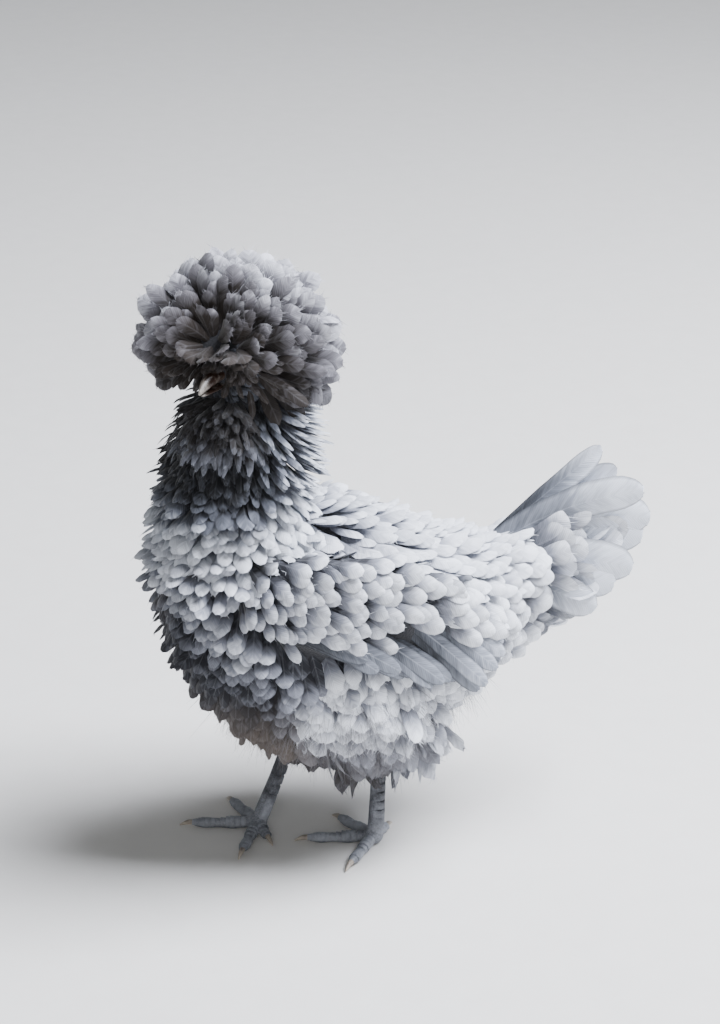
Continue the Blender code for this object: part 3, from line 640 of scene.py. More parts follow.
def feather_material(name, colours, brown, barb, contrast, shaft, uneven, edging, roughness):
    """Keratin barbs side by side, soft and matt, with a pale shaft.

    Barbs lie about 0.5 mm apart; they are drawn wider, at barb millimetres, so that they show.
    contrast is how dark the lines between them are, shaft how pale the shaft is, uneven how far
    the vane's tone strays, and edging how bright its edge stays.
    """
    material, tree, shader = new_material(
        name, {"Sheen Weight": 0.2, "Sheen Roughness": 0.5, "Specular IOR Level": 0.25}
    )
    vane = add(tree, "Attribute", attribute_name="vane").outputs["Vector"]
    coat = add(tree, "Attribute", attribute_name="coat").outputs["Vector"]
    along, beyond, edge = add(tree, "SeparateXYZ", {0: vane}).outputs
    tone, warm, luck = add(tree, "SeparateXYZ", {0: coat}).outputs

    aside = add(tree, "Math", {0: beyond}, operation="ABSOLUTE")
    slant = add(tree, "Math", {0: aside, 1: 1.15}, operation="MULTIPLY")
    barbs = add(tree, "Math", {0: along, 1: slant}, operation="SUBTRACT")
    clumps = add(tree, "CombineXYZ", {
        0: add(tree, "Math", {0: barbs, 1: 2.6 * barb}, operation="DIVIDE"),
        1: add(tree, "Math", {0: aside, 1: 14.0}, operation="DIVIDE"),
        2: add(tree, "Math", {0: luck, 1: 37.0}, operation="MULTIPLY"),
    })
    streak = add(tree, "TexNoise", {"Vector": clumps, "Scale": 1.0, "Detail": 3.0, "Roughness": 0.6})
    phase = add(tree, "Math", {0: barbs, 1: 2 * math.pi / barb}, operation="MULTIPLY")
    wave = add(tree, "Math", {0: phase}, operation="SINE")

    strayed = add(tree, "MapRange", {0: streak, 1: 0.3, 2: 0.7, 3: -uneven, 4: uneven})
    share = add(tree, "Math", {0: tone, 1: strayed}, operation="ADD")
    slate = add(tree, "ValToRGB", {0: share}, dict(zip((0.0, 0.5, 1.0), colours)))
    tinted = add(tree, "Mix", {0: warm, 6: slate, 7: linear(brown)}, data_type="RGBA").outputs[2]
    near_shaft = add(tree, "MapRange", {0: aside, 1: 0.25, 2: 0.7, 3: shaft, 4: 0.0})
    off_edge = add(tree, "MapRange", {0: edge, 1: 0.0, 2: 0.5, 3: 1.0, 4: 0.0})
    on_shaft = add(tree, "Math", {0: near_shaft, 1: off_edge}, operation="MULTIPLY")
    lit = add(tree, "Mix", {0: on_shaft, 6: tinted, 7: linear(colours[2])}, data_type="RGBA").outputs[2]
    band = add(tree, "MapRange", {0: wave, 1: -1.0, 2: 1.0, 3: 1.0 - contrast, 4: 1.0})
    rim = add(tree, "MapRange", {0: edge, 1: 0.8, 2: 1.0, 3: 1.0, 4: edging})
    shadow = add(tree, "Math", {0: band, 1: rim}, operation="MULTIPLY")
    colour = add(tree, "VectorMath", {0: lit, "Scale": shadow}, operation="SCALE")

    low = add(tree, "Math", {0: wave, 1: 0.25}, operation="MULTIPLY")
    high = add(tree, "Math", {0: streak, 1: 1.6}, operation="MULTIPLY")
    height = add(tree, "Math", {0: low, 1: high}, operation="ADD")
    worn = add(tree, "MapRange", {0: streak, 1: 0.3, 2: 0.7, 3: roughness + 0.08, 4: roughness - 0.08})
    bump = add(tree, "Bump", {"Height": height, "Strength": 0.35, "Distance": 0.4 * MM})
    feed(tree, shader, {"Base Color": colour, "Normal": bump, "Roughness": worn})
    return material


def down_material():
    """Bare skin under grey down: dark, so that the gaps between feathers read as deep shade."""
    material, tree, shader = new_material("down_on_skin", {"Roughness": 0.9, "Sheen Weight": 0.3})
    place = add(tree, "TexCoord").outputs["Object"]
    fuzz = add(tree, "TexNoise", {"Vector": place, "Scale": 0.7 / MM, "Detail": 4.0})
    colour = add(tree, "ValToRGB", {0: fuzz}, {0.0: "#131316", 1.0: "#303137"})
    bump = add(tree, "Bump", {"Height": fuzz, "Strength": 0.6, "Distance": MM})
    feed(tree, shader, {"Base Color": colour, "Normal": bump})
    return material


def scale_material(name, dark, pale, cell, crease_depth):
    """Scaled skin or scale plates, dry, matt and mottled: paler toward the ground with painted light, and
    darker in the creases with painted shade.

    cell is how wide a scale is, in millimetres.
    """
    material, tree, shader = new_material(name, {"Specular IOR Level": 0.45})
    place = add(tree, "TexCoord").outputs["Object"]
    cells = add(
        tree, "TexVoronoi", {"Vector": place, "Scale": 1 / (cell * MM)}, feature="DISTANCE_TO_EDGE"
    )
    mottle = add(tree, "TexNoise", {"Vector": place, "Scale": 0.09 / MM, "Detail": 5.0})
    fine = add(tree, "TexNoise", {"Vector": place, "Scale": 0.9 / MM, "Detail": 3.0})
    broad = add(tree, "MapRange", {0: mottle, 1: 0.3, 2: 0.7, 3: 0.0, 4: 0.75})
    narrow = add(tree, "MapRange", {0: fine, 1: 0.3, 2: 0.7, 3: 0.0, 4: 0.25})
    spread = add(tree, "Math", {0: broad, 1: narrow}, operation="ADD")
    level = add(tree, "SeparateXYZ", {0: place}).outputs[2]
    # Painted light: paler toward the ground, where the toes face the sky, and darker higher up.
    painted_ground_light = add(tree, "MapRange", {0: level, 1: 0.006, 2: 0.034, 3: 0.42, 4: -0.42})
    share = add(tree, "Math", {0: spread, 1: painted_ground_light}, operation="ADD")
    slate = add(tree, "ValToRGB", {0: share}, {0.0: dark, 1.0: pale})
    # Painted shade in the creases between the scales.
    painted_crease_shade = add(tree, "MapRange", {0: cells, 1: 0.0, 2: 0.12, 3: 1.0 - crease_depth, 4: 1.0})
    colour = add(tree, "VectorMath", {0: slate, "Scale": painted_crease_shade}, operation="SCALE")
    domes = add(tree, "MapRange", {0: cells, 1: 0.0, 2: 0.16, 3: 0.0, 4: 1.0})
    grit = add(tree, "Math", {0: fine, 1: 0.3}, operation="MULTIPLY")
    height = add(tree, "Math", {0: domes, 1: grit}, operation="ADD")
    worn = add(tree, "MapRange", {0: fine, 1: 0.3, 2: 0.7, 3: 0.42, 4: 0.66})
    bump = add(tree, "Bump", {"Height": height, "Strength": 0.5, "Distance": 0.4 * MM})
    feed(tree, shader, {"Base Color": colour, "Normal": bump, "Roughness": worn})
    return material


def horn_material(name, dark, pale, tip_axis, span):
    """Horn with a soft gloss and streaks along it: dark at the base, pale at the tip.

    span is where, along the axis, it turns from dark to pale.
    """
    material, tree, shader = new_material(name, {"Coat Weight": 0.15, "Coat Roughness": 0.3})
    place = add(tree, "TexCoord").outputs["Object"]
    marks = add(tree, "TexNoise", {"Vector": place, "Scale": 0.26 / MM, "Detail": 4.0, "Roughness": 0.65})
    run = add(tree, "VectorMath", {0: place, 1: tip_axis}, operation="DOT_PRODUCT").outputs["Value"]
    toward_tip = add(tree, "MapRange", {0: run, 1: span[0], 2: span[1], 3: 0.0, 4: 0.8})
    strayed = add(tree, "MapRange", {0: marks, 1: 0.35, 2: 0.65, 3: -0.2, 4: 0.25})
    share = add(tree, "Math", {0: toward_tip, 1: strayed}, operation="ADD")
    colour = add(tree, "ValToRGB", {0: share}, {0.0: dark, 1.0: pale})
    worn = add(tree, "MapRange", {0: marks, 1: 0.3, 2: 0.7, 3: 0.28, 4: 0.45})
    bump = add(tree, "Bump", {"Height": marks, "Strength": 0.2, "Distance": 0.2 * MM})
    feed(tree, shader, {"Base Color": colour, "Normal": bump, "Roughness": worn})
    return material


def eye_material(centre, way):
    """A wet eye: an orange-brown iris with fine spokes, a black pupil and a dark rim."""
    material, tree, shader = new_material(
        "wet_cornea", {"Roughness": 0.06, "Coat Weight": 0.8, "Coat Roughness": 0.02}
    )
    place = add(tree, "TexCoord").outputs["Object"]
    inside = add(tree, "VectorMath", {0: place, 1: centre}, operation="SUBTRACT")
    front = add(tree, "VectorMath", {0: inside, 1: way}, operation="DOT_PRODUCT").outputs["Value"]
    share = add(tree, "Math", {0: front, 1: EYE_RADIUS * MM}, operation="DIVIDE")
    spokes = add(tree, "TexNoise", {"Vector": place, "Scale": 1.4 / MM, "Detail": 3.0})
    strayed = add(tree, "MapRange", {0: spokes, 1: 0.3, 2: 0.7, 3: -0.02, 4: 0.02})
    ring = add(tree, "Math", {0: share, 1: strayed}, operation="ADD")
    colour = add(tree, "ValToRGB", {0: ring}, {
        0.0: "#120C0A",
        0.55: "#2A130A",
        0.66: "#8A3E16",
        0.82: "#B5652A",
        0.875: "#050404",
        1.0: "#040404",
    })
    feed(tree, shader, {"Base Color": colour})
    return material


def deselect():
    """Leaves nothing selected, because an operator acts on all that is."""
    for other in bpy.context.selected_objects:
        other.select_set(False)


def activate(piece):
    """Leaves only this piece selected, and makes it the active one."""
    deselect()
    piece.select_set(True)
    bpy.context.view_layer.objects.active = piece


def plain(values):
    """Values as the plain numbers that an operator takes."""
    return tuple(float(value) for value in values)


def apply_place():
    """Applies the active object's place, turn and size to its mesh."""
    bpy.ops.object.transform_apply(location=True, rotation=True, scale=True)


def edit_all():
    """Enters edit mode with the whole active mesh selected."""
    bpy.ops.object.mode_set(mode="EDIT")
    bpy.ops.mesh.select_all(action="SELECT")


def settle(piece, name, material):
    """Applies the object's place to its mesh, gives it its material and shades it smooth."""
    activate(piece)
    apply_place()
    piece.name = name
    piece.data.materials.clear()
    piece.data.materials.append(material)
    piece.data.shade_smooth()
    return piece


def apply_all(piece):
    """Applies all of a piece's modifiers."""
    activate(piece)
    for step in list(piece.modifiers):
        bpy.ops.object.modifier_apply(modifier=step.name)


def round_off(piece):
    """Rounds a piece by one subdivision."""
    step = piece.modifiers.new("round_off", "SUBSURF")
    step.levels = step.render_levels = 1
    apply_all(piece)


def select(piece, mode, chosen):
    """Selects some faces or points, and leaves the piece in edit mode."""
    activate(piece)
    bpy.ops.object.mode_set(mode="EDIT")
    bpy.ops.mesh.select_mode(type=mode)
    bpy.ops.mesh.select_all(action="DESELECT")
    bpy.ops.object.mode_set(mode="OBJECT")
    items = piece.data.polygons if mode == "FACE" else piece.data.vertices
    for item in items:
        item.select = bool(chosen(item))
    bpy.ops.object.mode_set(mode="EDIT")


def draw_out(rows, axis, sides, grow=0.0):
    """A closed body: a disc is extruded from section to section and resized at each.

    rows are centres and half sizes; axis is what the sections face, 0 for x, 1 for y, 2 for z.
    """
    rows = np.array(rows, float)
    centres = [plain(row[:3] * MM) for row in rows]
    turn = ((0, math.pi / 2, 0), (math.pi / 2, 0, 0), (0, 0, 0))[axis]
    bpy.ops.mesh.primitive_circle_add(
        vertices=sides, radius=MM, fill_type="NGON", location=centres[0], rotation=turn
    )
    piece = bpy.context.object
    apply_place()
    edit_all()
    before = np.ones(3)
    for k, row in enumerate(rows):
        if k:
            step = plain((row[:3] - rows[k - 1, :3]) * MM)
            bpy.ops.mesh.extrude_region_move(TRANSFORM_OT_translate={"value": step})
        size = np.insert(row[3:5] + grow, axis, 1.0)
        bpy.ops.transform.resize(value=plain(size / before), center_override=centres[k])
        before = size
    bpy.ops.mesh.select_all(action="SELECT")
    bpy.ops.mesh.normals_make_consistent(inside=False)
    bpy.ops.object.mode_set(mode="OBJECT")
    return piece


def along_curve(stations, count):
    """Sections on the smooth curve through stations, unshifted."""
    rows = Form(stations).at(np.linspace(0, 1, count))
    rows[:, :3] -= SHIFT
    return rows


def place_piece(piece, turn, spot):
    """Turns a piece about the upright axis and moves it, and applies both to its mesh."""
    activate(piece)
    piece.rotation_euler = (0, 0, turn)
    piece.location = plain((np.array(spot) + SHIFT) * MM)
    apply_place()
    return piece


def ball_piece(centre, half, grow):
    """A sphere squeezed to an ellipsoid, and turned with the head."""
    bpy.ops.mesh.primitive_uv_sphere_add(segments=24, ring_count=14, radius=MM)
    piece = bpy.context.object
    edit_all()
    bpy.ops.transform.resize(value=tuple(h + grow for h in half), center_override=(0, 0, 0))
    bpy.ops.object.mode_set(mode="OBJECT")
    return place_piece(piece, HEAD_TURN, centre)


def join(pieces, name):
    """One object of many."""
    deselect()
    for piece in pieces:
        piece.select_set(True)
    bpy.context.view_layer.objects.active = pieces[0]
    bpy.ops.object.join()
    bpy.context.object.name = name
    return bpy.context.object


def one_skin(pieces, name, cell, rounds):
    """Bodies that overlap, as one closed skin with cells of some millimetres, softened in rounds."""
    skin = join(pieces, name)
    step = skin.modifiers.new("one_skin", "REMESH")
    step.mode, step.voxel_size = "VOXEL", cell * MM
    step = skin.modifiers.new("soften", "SMOOTH")
    step.factor, step.iterations = 0.5, rounds
    apply_all(skin)
    return skin


def make_skin(material):
    """One closed skin over head, neck, body, wings, thighs and tail root."""
    deep = -SKIN_DEPTH
    flesh = [
        draw_out(Form(TORSO).at(np.linspace(0, 1, 24)), 1, 40, deep),
        draw_out(Form(NECK).at(np.linspace(0, 1, 12)), 2, 32, deep),
        draw_out(Form(TAIL_BASE).at(np.linspace(0, 1, 8)), 1, 24, deep),
        ball_piece(SKULL_CENTRE, SKULL_HALF, -0.6),
        ball_piece(CREST_CENTRE, CREST_HALF, deep),
        ball_piece(head_place(*BEARD_PLACE), BEARD_HALF, deep),
    ]
    for side in SIDES:
        flesh.append(draw_out(wing_form(side).at(np.linspace(0, 1, 14)), 1, 24, deep))
        flesh.append(draw_out(Form(THIGH[side]).at(np.linspace(0, 1, 12)), 2, 28, deep))
    return settle(one_skin(flesh, "skin", SKIN_CELL, 6), "skin", material)


def wing_form(side):
    return Form([(SIDES[side] * row[0], *row[1:]) for row in WING], BACK)


def sections_at(form, point, axis, count=120):
    """The form's sections level with each place along an axis, and where the form starts and ends."""
    rows = form.at(np.linspace(0, 1, count))
    near = np.array([np.interp(point[:, axis], rows[:, axis], rows[:, k]) for k in range(5)]).T
    return near, rows[0, axis], rows[-1, axis]


def under_wing(point, above, below):
    """Whether a place on the body lies under a wing's flesh, grown by a margin above and below."""
    covered = np.zeros(len(point), bool)
    for side in SIDES:
        near, first, last = sections_at(wing_form(side), point, 1)
        grow = np.where(point[:, 2] > near[:, 2], above, below)
        inside = ((point[:, 0] - near[:, 0]) / (near[:, 3] + 12)) ** 2
        inside += ((point[:, 2] - near[:, 2]) / np.maximum(near[:, 4] + grow, 1)) ** 2
        covered |= (inside < 1) & (point[:, 1] > first) & (point[:, 1] < last)
    return covered


def in_neck(point):
    """Whether a place lies inside the neck's flesh."""
    near, low, _ = sections_at(Form(NECK, UP, -BACK), point, 2, 60)
    inside = ((point[:, 0] - near[:, 0]) / near[:, 3]) ** 2 + ((point[:, 1] - near[:, 1]) / near[:, 4]) ** 2
    return (inside < 0.7) & (point[:, 2] > low)


def in_torso(point):
    """Whether a place lies inside the body's flesh."""
    near, _, _ = sections_at(Form(TORSO, BACK), point, 1)
    inside = ((point[:, 0] - near[:, 0]) / near[:, 3]) ** 2 + ((point[:, 2] - near[:, 2]) / near[:, 4]) ** 2
    return inside < 0.95


def body_lie(point, out):
    """The body's lie: down at the breast, back along the rump, down over the wings' upper edges."""
    y = point[:, 1:2] - SHIFT[1]
    share = smooth(y, -125, 70)
    lie = (1 - share) * np.array([0, -0.12, -1.0]) + share * np.array([0, 1.0, -0.55])
    upper = smooth(out[:, 2:3], 0.05, 0.4)
    drape = 1.6 * smooth(np.abs(out[:, 0:1]), 0.15, 0.6) * upper * smooth(y, 75, 40)
    lift = 0.7 * upper * smooth(y, 75, 110)
    return lie + UP * (lift - drape)


def torso_roots():
    """Roots all over the body, apart from what the wings and the neck cover."""
    form = Form(TORSO, BACK)
    roots = Roots(form, *scatter(form, BODY_PITCH, (0.0, 1.0), jitter=0.24, seed=11))
    roots.keep(~under_wing(roots.point, -4.0, -7.0) & ~in_neck(roots.point))
    return roots.lay(body_lie(roots.point, roots.out), 5, seed=12)


def feather_torso(materials):
    """Cupped, outward curled petals over breast, flanks, belly, back and rump."""
    roots = torso_roots()
    y, z = roots.point[:, 1] - SHIFT[1], roots.point[:, 2]
    aside, up = roots.out[:, 0], roots.out[:, 2]
    breast, belly = smooth(y, -20, -90), smooth(up, -0.3, -0.85)
    back, rump, rear = smooth(up, 0.25, 0.7), smooth(y, 40, 90), smooth(y, 84, 104)
    tucked = np.where(under_wing(roots.point, 3.0, 5.0), 1.0, 0.0) * (y > -80)
    beside_back = smooth(np.abs(aside), 0.25, 0.6) * smooth(up, 0.1, 0.5) * (1 - rump)
    vent = smooth(y, 45, 90) * smooth(up, -0.1, -0.6)
    # Longest and broadest over the tail's root, the vent and the belly.
    length = 35 + 6 * belly - 4 * back - 3 * breast * (1 - belly) - 5 * rump
    length += 8 * beside_back + 14 * rear + 10 * vent
    width = 14.5 - 2.5 * breast * (1 - belly) + 2.5 * belly - 2.0 * rump + 5 * rear
    width -= 2.5 * back * (1 - rump)
    # They stand up most on the breast, and lie flat under the wings and on the tail's root.
    flat = (1 - 0.6 * tucked) * (1 - 0.7 * rear * smooth(up, -0.6, 0.0))
    lift = (19 + 8 * breast - 4 * back) * flat + 10 * vent
    curl = (30 + 18 * breast - 8 * back) * flat
    # On the back, the tips stay turned up.
    tip_bend = -42 + 34 * back * smooth(y, -40, 0) * (1 - rear)
    # Paler toward the rear and on the back, and darker on the belly: painted light from above and behind.
    tone = 0.66 + 0.24 * smooth(y, -60, 60) + 0.1 * smooth(z, 180, 240) - 0.1 * belly
    # Painted shadow under the wing's edge, so that the wing stands off the flank.
    tone -= 0.4 * tucked * smooth(up, 0.3, 0.0) * smooth(y, 70, 30)
    # Brown low on the breast, and darker there and round its front and far side: partly the feathers' own
    # dark brown, partly painted shade.
    tone -= 0.32 * smooth(z, 180, 110) * smooth(y, 10, -60)
    tone -= 0.52 * smooth(z, 215, 165) * smooth(y, -52, -100)
    tone -= 0.7 * smooth(aside, 1.0, 0.45) * smooth(z, 248, 210) * smooth(y, -45, -90)
    brown = 0.7 * smooth(z, 180, 125) * smooth(y, -10, -90)
    fray = 1.5 * belly * smooth(z, 150, 115)
    pieces = []
    # Name, where it starts and ends along the body, and loose barbs at a tip.
    cuts = (
        ("breast_feathers", -math.inf, -72, 2),
        ("flank_feathers", -72, -8, 4),
        ("belly_and_back_feathers", -8, 48, 4),
        ("rump_feathers", 48, math.inf, 2),
    )
    for k, (name, first, last, barbs) in enumerate(cuts):
        mask = (y >= first) & (y < last)
        # Painted shade darkens their roots, less of it on the back.
        pieces += vanes(
            name, roots.some(mask), PETAL, length[mask], width[mask], lift[mask], curl[mask],
            tip_bend=tip_bend[mask], camber=0.42, shade=(tone[mask] - 0.95 + 0.5 * back[mask], tone[mask]),
            warm=brown[mask], fray=fray[mask], barbs=barbs, uneven=0.12, sway=4, roll=9,
            material=materials["body"], seed=20 + k,
        )
    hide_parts("torso")
    return pieces + breast_point(materials["body"]) + [belly_down(roots, materials["down"])]


def breast_point(material):
    """Petals over the ball that rounds off the breast."""
    ball = Ball(BREAST_CENTRE, BREAST_HALF, -BACK)
    roots = Roots(ball, *scatter(ball, BODY_PITCH, (0.0, 0.42), jitter=0.24, seed=18)).lay(-UP, 6, seed=19)
    # Painted shade: the lower ones, on the breast's front, are darker.
    tone = 0.7 - 0.55 * smooth(roots.point[:, 2], 252, 222)
    return vanes(
        "breast_point_feathers", roots, PETAL, 30, 12, 27, 46, tip_bend=-42, camber=0.42,
        shade=(tone - 0.95, tone), warm=0.1, barbs=2, sway=4, roll=9, material=material, seed=17,
    )


def belly_down(roots, material):
    """Hairlike down that hangs from the belly."""
    draw = np.random.default_rng(28)
    y = roots.point[:, 1] - SHIFT[1]
    low = np.flatnonzero((roots.out[:, 2] < -0.55) & (y > -100) & (y < 75))
    each = np.repeat(low, 20)
    start = roots.point[each] + draw.normal(0, 3, (len(each), 3)) - roots.out[each] * 3
    way = unit(roots.out[each] * 0.8 - UP * 0.5 + draw.normal(0, 0.3, (len(each), 3)))
    bend = -UP * 0.5 + draw.normal(0, 0.4, (len(each), 3))
    tone = 0.34 + 0.2 * smooth(y[each], -60, 60)
    brown = 0.7 * smooth(y[each], 0, -60)
    length = draw.uniform(15, 27, len(each))
    return strands(
        "belly_down", start, way, bend, length, DOWN_WIDTH, tone, brown, roots.wrap[each], material, seed=29
    )


def feather_neck(materials):
    """Hackles all round: narrow and dark under the head, broader and paler toward the breast."""
    form = Form(NECK, UP, -BACK)
    pieces = []
    # Name, pitch, lowest and highest root, outline, length, width, lift and curl.
    groups = (
        ("neck_hackles", 4.4, 318, 380, OVAL, 38, 7.4, 28, 28),
        ("throat_feathers", 6.4, 200, 324, PETAL, 34, 12, 29, 44),
    )
    for k, (name, pitch, low, high, shape, length, width, lift, curl) in enumerate(groups):
        t, turn = scatter(form, pitch, (0.0, 0.97), seed=31 + k)
        roots = Roots(form, t, turn)
        roots.keep(~in_torso(roots.point) & (roots.point[:, 2] > low) & (roots.point[:, 2] < high))
        height = roots.point[:, 2]
        beside = smooth(np.abs(roots.out[:, 0:1]), 0.3, 0.9) * smooth(roots.out[:, 1:2], -0.7, 0.1)
        # Down in front and back along the shoulders.
        roots.lay(BACK * 0.9 * beside * smooth(height, 305, 250)[:, None] - UP, 7, seed=32)
        behind = smooth(roots.out @ LIT_SIDE, 0.25, 0.85)
        top_row = smooth(height, 285, 322) * (k == 1)
        # Near black under the beard and pale toward the breast. Painted light makes them paler on the side
        # that the light whitens, and painted shadow darkens them just under the beard, away from that side.
        tone = 0.08 + 0.92 * smooth(height, 325, 269) + 0.62 * behind
        tone -= 0.1 * smooth(height, 298, 316) * (1 - behind)
        # The lowest ones spread over the shoulders, and those behind stand off the nape.
        cape = smooth(height, 300, 262) * np.maximum(beside[:, 0], behind)
        under_beard = smooth(height, 300, 335) * smooth(roots.out @ heading(HEAD_TURN), 0.1, 0.6)
        raised = behind * smooth(height, 285, 318)
        length = length - 10 * under_beard + 8 * cape + 5 * raised
        width = width * (1 - 0.3 * behind - 0.25 * top_row)
        lift = lift - 10 * under_beard + 13 * raised + 18 * cape
        pieces += vanes(
            name, roots, shape, length, width, lift, curl * (1 - 0.5 * cape),
            tip_bend=-38 + 26 * raised, camber=0.4, shade=(tone - 0.8, tone), thick=0.4,
            uneven=0.12, barbs=3, sway=4, roll=9, material=materials["neck"], seed=33 + k,
        )
    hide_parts("neck")
    return pieces


def feather_crest(materials):
    """A globe of petals turned away from the whorl over the beak, dark inside and pale at the rim."""
    ball = Ball(CREST_CENTRE, CREST_HALF, CREST_WHORL)
    t, turn = scatter(ball, CREST_PITCH, (0.0, 0.94), jitter=0.5, seed=41)
    roots = Roots(ball, t, turn)
    way = ball.way(t, turn)
    away = unit(way * np.cos(t * np.pi)[:, None] - ball.axis)
    roots.lay(away - UP * (1 - np.cos(t * np.pi))[:, None] * 0.5, 16, seed=42)
    # None grow over the beak or low on the cheeks; at the nape they reach lower.
    beak = unit(head_place(0, 36, -6) - np.array(CREST_CENTRE))
    floor = -0.46 - 0.22 * np.clip(roots.out @ LIT_SIDE, 0, 1)
    roots.keep((roots.out[:, 2] > floor) & (roots.out @ beak < 0.965))
    lit = roots.out @ LIT_SIDE
    over_face = smooth(roots.out @ beak, 0.6, 0.9)
    near = smooth(roots.t, 0.26, 0.06)
    face_on = smooth(roots.t, 0.52, 0.12)
    # Under the whorl, narrow feathers, darkened with painted shade, fall in all directions over the beak's
    # root.
    fringe = smooth(roots.out[:, 2], 0.25, -0.1) * smooth(roots.t, 0.42, 0.2)
    fall = flat_on(LIT_SIDE * 0.25 - UP, roots.out)
    roots.lie = unit(roots.lie * (1 - near[:, None]) + fall * near[:, None])
    draw = np.random.default_rng(44)
    roots.swing(draw.normal(0, 30, len(roots)) * np.maximum(near, fringe))
    # Short and narrow at the whorl, full grown a third of the way round.
    grown = smooth(roots.t, 0.04, 0.36)
    length = (19 + 23 * grown) * (1 - 0.3 * over_face) * draw.uniform(0.74, 1.12, len(roots))
    length = length * (1 + 0.13 * smooth(lit, 0.0, 0.8))
    width = (6.4 + 8.1 * grown) * (1 - 0.2 * over_face) * draw.uniform(0.78, 1.22, len(roots))
    width = width * (1 - 0.45 * fringe) + 2.5 * near
    # Pale at the top and the rim, dark where they face the front. Painted shade darkens the low ones, the
    # fringe under the whorl, those that fall by the whorl and the side that the light whitens.
    tone = 0.84 - 0.46 * face_on - 0.2 * over_face - 0.2 * near - 0.3 * fringe
    tone -= 0.3 * smooth(roots.out[:, 2], 0.1, -0.5) + 0.14 * smooth(lit, 0.3, 0.9)
    tone -= 0.34 * smooth(roots.lie[:, 2], -0.2, -0.8) * smooth(roots.t, 0.6, 0.3)
    tone += draw.normal(0, 0.08, len(roots))
    pieces = vanes(
        "crest_feathers", roots, PETAL, length, width, 46 + 10 * near, 18, tip_bend=-44,
        camber=0.34, shade=(tone - 1.0, tone), warm=0.14 * face_on, sway=9, roll=14,
        ragged=0.05, fray=0.3, uneven=0.05, barbs=13, material=materials["crest"], seed=43,
    )
    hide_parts("crest")
    return pieces


def feather_beard(materials):
    """A full dark beard that fans out under the beak and round the cheeks."""
    ball = Ball(head_place(*BEARD_PLACE), BEARD_HALF, UP)
    t, turn = scatter(ball, BEARD_PITCH, (0.08, 0.96), jitter=0.4, seed=51)
    roots = Roots(ball, t, turn)
    forward = heading(HEAD_TURN)
    ahead = roots.out @ forward
    roots.keep((ahead > -0.55) & ((roots.out[:, 2] < 0.4) | (ahead > 0.4)))
    # They hang down and spread outward, the upper ones forward under the beak.
    level = roots.out * np.array([1, 1, 0])
    roots.lay(level * 0.45 + forward * 0.3 * smooth(roots.out[:, 2:3], 0.1, 0.7) - UP, 12, seed=52)
    upper = smooth(roots.out[:, 2], 0.1, 0.6)
    hanging = smooth(roots.out[:, 2], 0.2, -0.5)
    length, lift = 27 + 8 * hanging - 6 * upper, 28 + 34 * hanging - 14 * upper
    pieces = vanes(
        "beard_feathers", roots, OVAL, length, 6.6, lift, 26, tip_bend=-34, camber=0.36,
        shade=(-0.6, -0.02 + 0.4 * hanging), warm=0.12, thick=0.4, uneven=0.2, sway=9, roll=18,
        barbs=14, material=materials["neck"], seed=53,
    )
    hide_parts("beard")
    return pieces


def feather_face(materials):
    """Short dark feathers that close round the beak's root and hide the eyes."""
    forward = heading(HEAD_TURN)
    ball = Ball(SKULL_CENTRE, SKULL_HALF, forward)
    t, turn = scatter(ball, FACE_PITCH, (0.12, 0.62), jitter=0.35, seed=56)
    roots = Roots(ball, t, turn)
    roots.keep(roots.out[:, 2] < 0.6)
    away = ball.way(roots.t, roots.turn)
    roots.lay(away * np.cos(roots.t * np.pi)[:, None] - forward - UP * 0.9 * roots.t[:, None], 14, seed=57)
    length, width = 10 + 27 * roots.t, 3.6 + 9 * roots.t
    return vanes(
        "face_feathers", roots, PETAL, length, width, 30, 24, tip_bend=-30, camber=0.3,
        shade=(-0.2, 0.2), thick=0.3, depth=1.5, fray=0.3, uneven=0.25, roll=16, barbs=3,
        material=materials["neck"], seed=58,
    )


def wing_rows(form, side, pitch, stretch, span, low, high):
    """Places over the part of a wing's outer face between two angles, in degrees, up from level."""
    t, turn = scatter(form, pitch, span, jitter=0.34, stretch=stretch, seed=62)
    rise = np.degrees(turn if side == "left" else np.pi - turn)
    rise = (rise + 180) % 360 - 180
    mask = (rise > low) & (rise < high)
    return Roots(form, t[mask], turn[mask])


def feather_wing(side, materials):
    """Coverts in uneven rows, then smooth secondaries and primaries low at the rear."""
    form = wing_form(side)
    pieces = []
    for name, pitch, stretch, first, last, low, high, *sizes, bend, steep, tone in COVERTS:
        roots = wing_rows(form, side, pitch, stretch, (first, last), low, high)
        over_edge = smooth(roots.out[:, 2:3], 0.3, 0.8)
        roots.lay(np.array([0, 1.0, -steep]) - UP * over_edge * 0.6, 4, seed=63)
        length, width, lift, curl = sizes
        # Painted light: those that face up are paler.
        pale = tone + 0.08 * roots.out[:, 2]
        pieces += vanes(
            f"{name}_{side}", roots, PETAL, length * (1 - 0.2 * over_edge[:, 0]), width, lift, curl,
            tip_bend=bend, camber=0.44, shade=(pale - 1.0, pale), roll=6, sway=3, barbs=2, seed=64,
            material=materials["body"],
        )
    pieces += flight_feathers(side, form, materials["flight"])
    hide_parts(f"wing_{side}")
    return pieces


